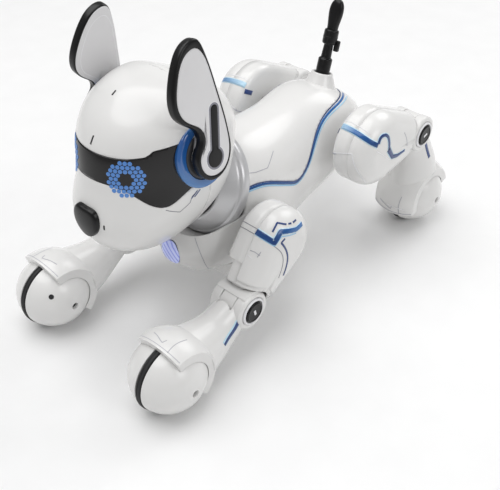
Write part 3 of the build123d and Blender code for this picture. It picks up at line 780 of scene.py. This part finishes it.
def make_eyes(tree):
    """Dots of each eye in a hexagonal grid round an empty pupil, laid on the visor."""
    for side, name in SIDES:
        centre = Vector((side * 18.2, -105.5, 124.2))
        turn = Matrix.Rotation(radians(30 * side), 3, "Z")
        shapes = []
        for row in range(-4, 5):
            for col in range(-4, 5):
                x = (col + 0.5 * (row % 2)) * DOT_PITCH
                z = row * DOT_PITCH * sin(pi / 3)
                if not PUPIL_R < hypot(x, z) < EYE_R:
                    continue
                start = centre + turn @ Vector((x, 12, z))
                hit, normal = tree.ray_cast(start, turn @ Vector((0, -1, 0)))[:2]
                if hit is not None:
                    shapes.append(dot(hit, normal, DOT_R))
        piece("Eye_Dots_" + name, joined(*shapes), "dots", "head", ("eye_displays",) if side > 0 else ())


def dot(centre, normal, radius, lift=0.22):
    """Small domed disc lying on a surface."""
    turn = np.array(Vector((0, 0, 1)).rotation_difference(normal).to_matrix())
    profile = [(radius, -0.15), (radius, lift * 0.55), (radius * 0.88, lift * 0.85), (radius * 0.5, lift)]
    verts, faces = revolve(profile, 18, (False, True))
    return verts @ turn.T + np.array(centre), faces


# ---- ears ----
# outline of an ear in its own plane, (y, z) from the hinge, as in the CAD, and of the plates let into it
EAR = [
    (1, 57.2), (-6.4, 56.4), (-11.8, 51.3), (-16.8, 41.6), (-18.9, 34), (-18.2, 26.8), (-13, 20.6),
    (-7.4, 15.4), (-6.4, 10), (-9.8, 4.8), (-10.9, -1.5), (-8.2, -7.8), (-2, -11.4), (5, -10),
    (10, -5), (12.2, 2), (12.1, 8), (11.1, 18.3), (9.2, 29.5), (7.4, 39.8), (4.8, 50.5),
]
EAR_FACE = [
    (-0.4, 53.3), (-5.6, 52.8), (-10, 49.5), (-14.5, 41), (-16.6, 32.6), (-15.4, 26.1), (-11.3, 21.3),
    (-5.6, 16.6), (-3.7, 12.5), (-4.2, 8.3), (-8, 3.6), (-8.9, -1.6), (-6.2, -6.9), (-0.8, -9.2),
    (5.2, -7.9), (9.2, -3.4), (10.9, 4), (10.1, 17), (8.2, 28.8), (6.2, 40), (3.4, 49.3),
]
EAR_HALF, EAR_EDGE = 3, 1.3
# how far the inner side stands back from the head, and the outline's height against the list above
EAR_RELIEF = 0.9
EAR_TOP = 0.998
# bulge's centre and radius, the stem's ends and its half width
KEYHOLE = ((0.3, -0.6), 4.8, (1.4, 5), (4.3, 22.7), 2.3)


def inset_outline(flat, amount):
    """A closed outline moved inwards."""
    ahead = np.roll(flat, -1, axis=0) - np.roll(flat, 1, axis=0)
    ahead /= norm(ahead, axis=1)[:, None]
    normal = np.column_stack([ahead[:, 1], -ahead[:, 0]])
    area = np.sum(flat[:, 0] * np.roll(flat[:, 1], -1) - np.roll(flat[:, 0], -1) * flat[:, 1])
    return flat - normal * amount * (1 if area > 0 else -1)


def slab(flat, x):
    return np.column_stack([np.full(len(flat), x), flat])


def keyhole_outline(grow):
    """Round bulge with a long stem, as a closed outline."""
    centre, radius, low, high, stem = KEYHOLE
    centre, low, high = np.array(centre), np.array(low), np.array(high)
    up = (high - low) / norm(high - low)
    right = np.array([up[1], -up[0]])
    r, w = radius + grow, stem + grow
    half = asin(min(0.95, w / r))
    out = []
    base = np.arctan2(up[1], up[0])
    for t in np.linspace(half, 2 * pi - half, 40):
        out.append(centre + r * np.array([cos(base + t), sin(base + t)]))
    out.append(out[-1] * 0.4 + (low + right * w) * 0.6)
    for t in np.linspace(0, pi, 16):
        out.append(high + w * (right * cos(t) + up * sin(t)))
    out.append(out[0] * 0.4 + (low - right * w) * 0.6)
    return np.array(out)


def ear_place(side):
    """Out of an ear's own frame: x is outwards, y backwards, z up along the ear."""
    pivot = np.array(joint_mm("ear_left_swing")) * [side, 1, 1]
    axis = np.array(JOINT["ear_left_swing"]["axis"]) * [side, 1, 1]
    up = np.array([-axis[2] * side, 0, axis[0] * side])

    def placed(shape):
        p = shape[0]
        return pivot + p[:, :1] * axis + p[:, 1:2] * np.array([0, 1, 0]) + p[:, 2:] * up, shape[1]

    return placed


def make_ear(side, name):
    add = adder(ear_place(side), name, "ear_" + name)
    t = EAR_HALF
    inner = t - EAR_RELIEF
    rim = spline(EAR, EAR_POINTS, closed=True)
    rim[:, 1] *= EAR_TOP
    face = spline(EAR_FACE, EAR_POINTS, closed=True)
    steps = [radians(deg) for deg in (0, 18, 36, 54, 72, 90)]
    rings = [slab(face, -inner + 0.8), slab(face, -inner + 0.15), slab(inset_outline(face, -0.25), -inner)]
    for sign, level, order in ((1, -inner, steps), (-1, t, steps[::-1])):
        for b in order:
            edge = inset_outline(rim, EAR_EDGE * (1 - sin(b)))
            rings.append(slab(edge, level + sign * EAR_EDGE * (1 - cos(b))))
    rings += [slab(inset_outline(face, -0.25), t), slab(face, t - 0.15), slab(face, t - 0.8)]
    add("Ear_Rim", loft(rings), "black", "ear_rim")

    plates = []
    for sign, outline, top in ((1, inset_outline(face, 0.12), t - 0.06),
                               (-1, inset_outline(rim, 0.7), inner + 0.25)):
        rings = [slab(outline, sign * (top - 1.34)), slab(outline, sign * (top - 0.23)),
                 slab(inset_outline(outline, 0.25), sign * (top - 0.06)),
                 slab(inset_outline(outline, 0.8), sign * top)]
        plates.append(loft(rings))
    # raised border on the inner plate, lighter than the plate as painted highlight
    rings = [slab(inset_outline(face, 0.9), -inner - 0.1), slab(inset_outline(face, 1), -inner - 0.31),
             slab(inset_outline(face, 1.3), -inner - 0.31), slab(inset_outline(face, 1.4), -inner - 0.1)]
    add("Ear_Plates", joined(*plates), "ear_white", "ear_plates")
    add("Ear_Border", loft(rings, OPEN), "ridge")
    # keyhole on the outer plate: a ridge in painted highlight, a groove in painted shade and the black inlay,
    # each a (growth, height) profile
    for label, look, node, steps in (
            ("Ear_Groove", "ridge", None, ((1.25, -0.4), (1.25, -0.03), (0.7, 0))),
            ("Ear_Seam", "groove", None, ((0.95, -0.3), (0.95, 0), (0.5, 0.03))),
            ("Ear_Inlay", "black", "ear_inlay", ((0, -1), (0, 0), (-0.25, 0.14), (-0.8, 0.18)))):
        add(label, loft([slab(keyhole_outline(grow), t + up) for grow, up in steps]), look, node)


def make_ear_rings():
    ring = rounded([(12.6, 3.5), (12.6, 9.6), (14.3, 9.9), (15.9, 8.4), (16.9, 6.2), (17.1, 4.6), (16.2, 3.6),
                    (14.6, 3.5), (12.6, 3.5)], 1.2)
    hub = rounded([(0.3, 3.2), (11.6, 3.2), (12.5, 4), (12.5, 11), (15.4, 11.4)], 0.6)
    for name, profile, count, caps, look in (
            ("Ear_Rings", ring, 112, OPEN, "ring"), ("Ear_Hubs", hub, 72, (True, False), "dark")):
        verts, faces = revolve(profile, count, caps)
        shape = (ring_of(-verts[:, 2], verts[:, 0], verts[:, 1]), faces)
        both = joined(*(ear_place(side)(shape) for side in (1, -1)))
        piece(name, both, look, "head", (name.lower(),))


# ---- legs ----
LEG_X = abs(JOINT["knee_front_left"]["pos_m"][0]) / MM
KNEE_LENGTH = 56.0
POD_R, POD_HALF, DOME_R = 25.5, 15, 21.05
KNUCKLE_R = 11.5
# (height up the lower leg, half width, half depth, y of the middle)
SHANK = [
    (55, 11, 10.6, 0), (46, 10.8, 11.6, 2), (36, 11.8, 13.2, 3.8), (26, 14, 16.2, 3), (12, 17.5, 20, 0),
]
# length, radius and lean of each thigh, lean of the lower leg, travel of the knee
ROWS = {
    "front": (40, 20.5, -48, -76, (-25, 40)),
    "rear": (44, 23.5, 81.4, 15.6, (-5, 45)),
}
# height and radius of a thigh's lower end; depth and edge rounding of its outer and inner half
LOW_END = (10, 13.6)
OUTER_HALF, INNER_HALF = (13, 11.5), (12.4, 4.5)
# room left round the lower leg by each half, and angle by which a fender stops short
LEG_ROOM = {"front": (2.6, 12), "rear": (2.6, 2.6)}
FENDER_CUT = {"front": 27, "rear": 0.0}
# degrees between which the guard lies over the front of the knee
GUARD = {"front": (62, 118), "rear": (-30, 30)}

# painted lines, and engraved and raised lines drawn in painted shade and painted highlight, as draw_lines()
# takes them
BAND = [
    (0.1, -20.4, 38.3), (5.7, -19.4, 38), (10.6, -15.8, 37.8), (10.2, -15.4, 44.4), (11.6, -11.6, 46.9),
    (12.4, -6.4, 50), (11.2, -1.8, 54.6),
]
REAR_BAND = [(-11, 13.9, 62), (-1, 13.9, 62.9), (5.4, 12.6, 62.6), (10.4, 10.2, 60), (12.3, 8.6, 56.8)]
ARCH = [
    (12.3, 9.4, 56.4), (12.2, 12.9, 54.6), (12.3, 13.6, 50.8), (12.9, 10.6, 47), (13, 5.6, 44.6),
    (13, 2.3, 43.8),
]
WEDGE = [(13, 2.8, 44.2), (13, -3.8, 38), (13, -4.6, 32), (13, -3.4, 24)]
FRONT_THIGH_LINES = [
    ("Cover_Seam_A", "groove", 0.35, 0.14, False, [
        (-11.5, -18.5, 39.8), (-7.6, -20.4, 39.8), (-0.3, -20.4, 39.7)]),
    ("Cover_Seam_B", "groove", 0.35, 0.14, False, [
        (-11.5, -18.5, 36.8), (-7, -20.2, 36.7), (-0.3, -20.2, 36.6)]),
    ("Halo", "ice", 4.3, 0.12, False, BAND, 6, (1, 0.75)),
    ("Band", "band", 3.2, 0.2, False, BAND, 6, (1, 0.75)),
    ("Band_Edge", "stripe_pale", 0.5, 0.15, False, [
        (0.3, -20.3, 36.9), (5.8, -19.4, 36.3), (11.2, -15, 36.2), (11.6, -14.2, 42.6), (12.5, -9.8, 45.2),
        (12.8, -5, 48.4)]),
    ("Thin_A", "navy", 1, 0.17, False, [
        (7.8, -18.4, 42.2), (7, -17.6, 47.8), (9.2, -15, 48.9), (10, -13.6, 49.6)]),
    ("Thin_B", "navy", 1, 0.17, True, [(10.4, -12.6, 50.4), (10.8, -10.9, 51.6)]),
    ("Thin_C", "navy", 1, 0.17, True, [(10.8, -9.8, 52.4), (10.3, -7.6, 54.6)]),
    ("Thin_D", "navy", 1, 0.17, True, [(12.1, -11.6, 42.6), (12.3, -12.6, 39.6)]),
    ("Thin_E", "navy", 1.1, 0.17, True, [
        (12.3, -12.6, 39.6), (13, -6, 38), (13, -0.4, 35.4), (13, 3.8, 30.8), (13, 6.3, 25.2)]),
    ("Cover_Seam_C", "groove", 0.4, 0.14, True, [
        (10.6, -15.9, 36.2), (12.8, -10.6, 35.6), (13, -3.4, 33), (13, 0.6, 28.4), (13, 2.9, 22.8)]),
    ("Mark_A", "faint", 0.4, 0.14, False, [(1.3, -18.2, 28), (4.3, -18, 28.4), (7.4, -16.9, 28)]),
    ("Mark_B", "faint", 0.4, 0.14, True, [(6.9, -16.9, 30.2), (6.4, -16.8, 26.6)]),
    ("Mark_C", "ridge", 0.4, 0.14, True, [(1, -18, 25.2), (4.4, -17.8, 24.6)]),
]
REAR_THIGH_LINES = [
    ("Halo", "ice", 3.8, 0.12, True, REAR_BAND, 5),
    ("Band", "band_rear", 2.8, 0.2, True, REAR_BAND, 5),
    ("Top_Line", "ridge", 0.4, 0.14, True, [
        (-11.5, 17, 60), (-5.9, 17.3, 60), (2, 16.6, 60.4), (7.6, 14.6, 59.4)]),
    ("Arch_Pale", "ice", 2.8, 0.12, True, ARCH),
    ("Wedge_Pale", "ice", 4, 0.12, False, WEDGE, 4, (1.1, 0.5)),
    ("Arch_Navy", "navy", 1.9, 0.2, True, ARCH),
    ("Wedge_Navy", "navy", 3.1, 0.2, False, WEDGE, 4, (1.1, 0.5)),
    ("Seam_A", "ridge", 0.6, 0.14, True, [(-9.5, -1.5, 66.6), (-5.4, -0.1, 67.4), (2.5, 2.6, 67.2)]),
    ("Seam_B", "ridge", 0.6, 0.14, True, [
        (2.7, 2.4, 67.2), (6.1, -5.7, 65.7), (8.4, -11.2, 62.4), (9, -17, 56.4)]),
    ("Seam_C", "ridge", 0.4, 0.14, True, [(12.4, 5.2, 57.6), (13, 0.4, 49.4), (13, -4.4, 42)]),
    ("Housing_Line", "faint", 0.35, 0.14, True, [(8.4, 9, 29), (12.2, 4.4, 24.6), (13, -1, 22)]),
    ("Patch", "navy", 3, 0.16, True, [(-11.6, 10.6, 63.2), (-12.4, 8.2, 56.8)]),
    ("Inner_Seam", "faint", 0.5, 0.14, False, [
        (-7.7, -1.2, 67.4), (-12.2, -4.2, 60.6), (-12.4, -6.7, 57.4), (-12.4, -4, 48)]),
]
FENDER_LINES = [
    ("Fender_Arc", "faint", 0.35, 0.1, True, [
        (7, -24.4, 1.2), (6.4, -24, 5.4), (6.4, -22.6, 10), (6.9, -20, 14.1)]),
    ("Fender_Mark_A", "faint", 0.4, 0.1, False, [
        (-8.6, -23.1, 6.4), (-4.7, -24.4, 5.6), (-0.9, -25, 4.2), (0.9, -25.1, 3.8), (1.6, -24.6, 6.2)]),
    ("Fender_Lip", "faint", 0.3, 0.08, True, [(-14.2, -21, 1.6), (0, -25.4, 1.5), (14.2, -21, 1.6)]),
]
FRONT_LEG_LINES = [
    ("Shin_Pale", "ice", 3.6, 0.12, True, [
        (10.9, -2.4, 45.5), (11.1, -0.8, 41.5), (11.8, -0.2, 36), (13, 0.2, 31)]),
    ("Shin_Stripe", "navy", 2.3, 0.18, True, [
        (10.9, -2, 45.5), (11.1, -0.4, 41.5), (11.8, 0.2, 36), (13, 0.6, 31)], 4, (1.1, 0.8)),
]
REAR_LEG_LINES = [
    ("Shin_Stripe", "navy", 2.4, 0.16, True, [(10.8, 3.2, 46.2), (11, 3.8, 40), (12.2, 4.6, 32.5)]),
    ("Fender_Panel", "ridge", 0.5, 0.14, True, [(-2, -24.6, 6.4), (4.4, -24.3, 6), (10.4, -22.8, 5.2)]),
]
LINES = {"front": (FRONT_THIGH_LINES, FRONT_LEG_LINES), "rear": (REAR_THIGH_LINES, REAR_LEG_LINES)}


def turned(y, z, angle):
    c, s = cos(radians(angle)), sin(radians(angle))
    return c * y - s * z, s * y + c * z


def leg_place(side, origin, lean):
    """Out of a leg link's own frame: x is outwards, +Z runs up the link."""
    def placed(shape):
        p = shape[0]
        y, z = turned(p[:, 1], p[:, 2], lean)
        return np.column_stack([side * (LEG_X + p[:, 0]), origin[0] + y, origin[1] + z]), shape[1]

    return placed


def two_circles(circles, inset):
    """Closed outline round an upper and a lower circle, moved inwards by inset."""
    (top, big), (low, small) = circles
    alpha = asin((big - small) / (top - low))

    def arc(height, radius, turns):
        return [((radius - inset) * cos(t), height + (radius - inset) * sin(t)) for t in turns]

    def between(a, b):
        return [tuple(np.array(a) * (1 - k) + np.array(b) * k) for k in np.linspace(0, 1, 12)[1:-1]]

    upper = arc(top, big, np.linspace(-alpha, pi + alpha, 40))
    lower = arc(low, small, np.linspace(pi + alpha, 2 * pi - alpha, 24))
    return np.array(upper + between(upper[-1], lower[0]) + lower + between(lower[-1], upper[0]))


def pebble(circles, depth, soft, inset=0.0):
    """Half of a thigh from the parting plane out to its rounded face."""
    left = circles[1][1] - inset - soft
    steps = [(inset, 0), (inset, (depth - soft) * 0.5)]
    for deg in np.linspace(0, 90, 14):
        b = radians(deg)
        steps.append((inset + soft * (1 - cos(b)), depth - soft + soft * sin(b)))
    if left > 0.5:
        steps += [(inset + soft + left * share, depth) for share in (0.35, 0.65, 0.9)]
    return loft([slab(two_circles(circles, further), x) for further, x in steps], (False, True))


def fan_distance(y, z, rest, swing, near, far):
    """Distance outside the room that the lower leg sweeps, in a thigh's frame."""
    best = np.full(len(y), np.inf)
    for turn in np.linspace(rest + swing[0], rest + swing[1], 9):
        py, pz = turned(0, -KNEE_LENGTH, turn)
        along = (y * py + z * pz) / KNEE_LENGTH
        across = np.abs(y * pz - z * py) / KNEE_LENGTH
        slope = (far - near) / KNEE_LENGTH
        level = np.sqrt(1 - slope * slope)
        at = np.clip(along + across * slope / level, 0, KNEE_LENGTH)
        reach = np.hypot(across, along - at) - (near + slope * at)
        best = np.minimum(best, reach)
    return best


def make_thigh(row, side, name):
    length, radius, lean, leg_lean, swing = ROWS[row]
    knee = joint_mm(f"knee_{row}_{name}")[1:]
    placed = leg_place(side, knee, lean)
    body = f"{row}_thighs"
    tag = f"{row}_{name}"
    add = adder(placed, tag, body)
    circles = ((length, radius), LOW_END)

    def clear_of_leg(extra):
        def keep(p):
            y, z = turned(p[:, 1] - knee[0], p[:, 2] - knee[1], -lean)
            return fan_distance(y, z, leg_lean - lean, swing, KNUCKLE_R + 0.9, POD_R + 1.4) - extra

        return keep

    halves = [pebble(circles, *OUTER_HALF), on_side(-1)(pebble(circles, *INNER_HALF))]
    for label, half, room in zip(("Outer", "Inner"), halves, LEG_ROOM[row]):
        add("Thigh_" + label, half, node="thigh_" + label.lower(), keep=clear_of_leg(room), wall=WALL)
    cuffs = (pebble(circles, *OUTER_HALF, 0.9), on_side(-1)(pebble(circles, *INNER_HALF, 0.9)))
    for k, (cuff, narrow) in enumerate(zip(cuffs, (0.94, 0.66 if row == "front" else 0.94))):
        add(f"Thigh_Cuff{k}", (cuff[0] * [narrow, 1, 1], cuff[1]), keep=clear_of_leg(0), wall=CUFF_WALL)
    tongue = rounded([(0.3, -4.9), (10.8, -4.9), (11.2, -4.5), (11.2, 4.5), (10.8, 4.9), (0.3, 4.9)], 0.3)
    hub = about_x(revolve(tongue, 64, CLOSED))
    neck = rounded_box((9.6, 19, 13), (0, 0, 12.5), 2)
    add("Thigh_Tongue", joined(hub, neck))
    draw_lines(LINES[row][0], surface(*map(placed, halves)), placed, tag, body)


def fender_shape(cut):
    """Band over the wheel: outer sphere, flat sides, inner hollow, closed all round; cut degrees short."""
    rings = []
    for deg in np.linspace(cut, 180, 61):
        c, s = cos(radians(deg)), sin(radians(deg))
        row = []
        for radius, sign in ((POD_R, 1), (DOME_R + 0.35, -1)):
            for x in sign * np.linspace(-POD_HALF, POD_HALF, 31):
                rho = np.sqrt(radius ** 2 - x * x)
                row.append((x, rho * c, rho * s))
        rings.append(np.array(row))
    return loft(rings)


def make_lower_leg(row, side, name):
    lean = ROWS[row][3]
    axle = joint_mm(f"wheel_{row}_{name}_spin")[1:]
    placed = leg_place(side, axle, lean)
    tag = f"{row}_{name}"
    body = "lower_leg_" + tag
    add = adder(placed, tag, body)

    turns = round_turns(72)
    rings = [ring_of(a * np.cos(turns), mid + b * np.sin(turns), z) for z, a, b, mid in spline(SHANK, 40)]
    shank = loft(rings, OPEN)
    fender = fender_shape(FENDER_CUT[row])
    knee_y, knee_z = turned(0, KNEE_LENGTH, lean)
    knee = (axle[0] + knee_y, axle[1] + knee_z)

    def keep_shank(p):
        out = np.hypot(p[:, 1] - knee[0], p[:, 2] - knee[1]) - KNUCKLE_R - 1.3
        slot = np.maximum(out, np.abs(np.abs(p[:, 0]) - LEG_X) - 5.3)
        pod = np.sqrt((np.abs(p[:, 0]) - LEG_X) ** 2 + (p[:, 1] - axle[0]) ** 2 + (p[:, 2] - axle[1]) ** 2)
        return np.minimum(slot, pod - POD_R + 0.8)

    add("Shank", shank, node="lower_leg", keep=keep_shank, wall=SHANK_WALL)
    add("Fender", fender, bevel=0.7, sharp=50)
    cheek = rounded([(0.4, 5.3), (KNUCKLE_R, 5.3), (KNUCKLE_R, 10.4), (10.4, 11.4), (8.9, 11.45), (8.5, 10.9),
                     (7.9, 10.9), (7.5, 11.45), (6.7, 11.45), (6.5, 10.6), (0.4, 10.6)], 0.35)
    cheeks = [about_x(revolve(cheek, 80, CLOSED), sign, KNEE_LENGTH) for sign in (1, -1)]
    add("Knuckle", joined(*cheeks))
    first, last = GUARD[row]
    guard = []
    for deg in np.linspace(first, last, 24):
        a = radians(deg - lean)
        edge = 1 if 2 < deg - first < last - first - 2 else 0.98
        sides = [(-10.6, 11.4), (-10.2, 12.15), (10.2, 12.15), (10.6, 11.4)]
        guard.append(np.array([(x, r * edge * cos(a), KNEE_LENGTH + r * edge * sin(a)) for x, r in sides]))
    add("Knee_Guard", loft(guard), sharp=30)
    cap = rounded([(0.3, 10.4), (6.35, 10.4), (6.35, 12.4), (5.6, 13), (5.1, 13), (4.9, 12.7), (0.3, 12.7)],
                  0.3)
    add("Knee_Cap", about_x(revolve(cap, 64, CLOSED), 1, KNEE_LENGTH), "black", "knee_pin")
    add("Knee_Mark", rounded_box((0.5, 3.4, 1.5), (12.75, 0, KNEE_LENGTH), 0.3), "ridge")
    ring = revolve(rounded([(6.8, 11.2), (6.9, 12.2), (7.6, 12.3), (8.1, 11.8), (8.2, 11.2)], 0.25), 72)
    add("Knee_Ring", about_x(ring, 1, KNEE_LENGTH), "ridge")

    # two domes over the wheel, with a screw hole at each pole, a near-black disc of painted shade on its
    # floor
    dome = [(DOME_R - 1.4, 2.1), (np.sqrt(DOME_R ** 2 - 2.2 ** 2) - 0.25, 2.1)]
    for x in np.concatenate([np.linspace(2.35, 12, 16), np.linspace(12.6, 20.6, 22)]):
        dome.append((np.sqrt(DOME_R ** 2 - x * x), x))
    dome += [(2.6, 20.88), (2.2, 20.85), (2, 20.6), (1.9, 18.6), (0.3, 18.6)]
    domes = [about_x(revolve(dome, 96, CLOSED), sign) for sign in (1, -1)]
    add("Pod_Domes", joined(*domes), node="pod_domes")
    holes = [about_x(revolve([(1.85, 18.75), (0.2, 18.72)], 24, (False, True)), sign) for sign in (1, -1)]
    # one more hole on this dome, a near-black disc of painted shade
    if row == "front" and side < 0:
        aside = np.array([-14.86, -12.80, -7.66])
        holes.append(dot(aside, Vector(aside).normalized(), 1.5, 0.06))
    add("Dome_Screws", joined(*holes), "slot")
    draw_lines(FENDER_LINES + LINES[row][1], surface(placed(fender), placed(shank)), placed, tag, body)


def make_wheel(row, side, name):
    placed = leg_place(side, joint_mm(f"wheel_{row}_{name}_spin")[1:], ROWS[row][3])
    tag = f"{row}_{name}"
    profile = [(19.3, -1.5), (21, -1.55), (21.35, -1.3), (21.55, -0.7), (21.55, -0.25), (21.3, -0.18),
               (21.3, 0.18), (21.55, 0.25), (21.55, 0.7), (21.35, 1.3), (21, 1.55), (19.3, 1.5)]
    adder(placed, tag, "wheel_" + tag)("Tyre", about_x(revolve(profile, 160)), "tyre", "tyre")


# ---- everything ----
CAD_LOOKS = {
    "dark": ("front_gearbox", "rear_gearbox", "head_gearbox", "speaker", "power_switch", "wheel_hub"),
    "board": ("main_board",), "sleeve": ("battery_cells",),
    "steel": ("cover_screws", "front_leg_shaft", "rear_leg_shaft"),
}


def finish_cad_nodes():
    """Materials of the CAD pieces that stay: gear motors, boards, shafts, screws and wheel discs."""
    for look, starts in CAD_LOOKS.items():
        for node, obj in frame["nodes"].items():
            if node.startswith(starts):
                for material_slot in obj.material_slots:
                    material_slot.material = LOOKS[look][0]


def stripe_looks():
    """Blue looks whose colour changes along the toy."""
    deep, mid, pale, ice = (0.005, 0.045, 0.19), (0.012, 0.13, 0.4), (0.12, 0.4, 0.7), (0.5, 0.74, 0.9)
    for look, name, origin, direction, stops in (
            ("stripe", "stripe_blue", (0, 0, 70), (0, 0.6, 0.8), [(-30, mid), (15, deep), (50, mid)]),
            ("stripe_pale", "stripe_pale", (0, 0, 70), (0, 0, 1), [(-30, pale), (40, ice)]),
            ("band", "band_front", (49, -50, 60), (0, 1, 0.3),
             [(-12, pale), (-4, mid), (8, deep), (26, mid)]),
            ("band_rear", "band_rear", (0, 0, 0), (1, 0, 0),
             [(-62, mid), (-38, ice), (36, ice), (48, mid), (62, deep)])):
        LOOKS[look] = (graded(name, origin, direction, stops), "white_shell")
    # ear ring: deep blue in the middle, paler towards both ends, painted highlights along its edges
    stops = [(-18, (0.04, 0.18, 0.44)), (-9, (0.02, 0.11, 0.35)), (3, (0.01, 0.07, 0.27)),
             (17, (0.06, 0.24, 0.5))]
    origin = (0, *joint_mm("ear_left_swing")[1:])
    LOOKS["ring"] = (graded("ring_blue_highlights", origin, (0, 0.75, 1), stops, rough=0.1, coat=0.8,
                            emission=((0.02, 0.12, 0.35), 0.08)), "blue_lens")


def make_stage():
    mesh = bpy.data.meshes.new("floor")
    h = FLOOR_HALF
    mesh.from_pydata([(-h, -h, 0), (h, -h, 0), (h, h, 0), (-h, h, 0)], [], [(0, 1, 2, 3)])
    floor = bpy.data.objects.new("floor", mesh)
    bpy.context.scene.collection.objects.link(floor)
    mesh.materials.append(moulded("floor_pale", (0.87, 0.87, 0.87), (0.89, 0.89, 0.89), 0.6, 0))
    world = bpy.data.worlds.new("studio")
    bpy.context.scene.world = world
    bpy.context.scene.view_settings.view_transform = "Standard"
    world.use_nodes = True
    sky = world.node_tree.nodes["Background"].inputs
    sky["Color"].default_value = (1, 1, 1, 1)
    sky["Strength"].default_value = SKY_STRENGTH
    for light in LIGHTS:
        area_light(*light)


make_camera()
stripe_looks()
make_torso()
make_belly()
make_collar()
make_tail()
head_tree = make_head()
make_nose()
make_face_lines(head_tree)
make_eyes(head_tree)
make_ear_rings()
for side, name in ((1, "left"), (-1, "right")):
    make_ear(side, name)
    for row in ROWS:
        make_thigh(row, side, name)
        make_lower_leg(row, side, name)
        make_wheel(row, side, name)
finish_cad_nodes()
make_stage()
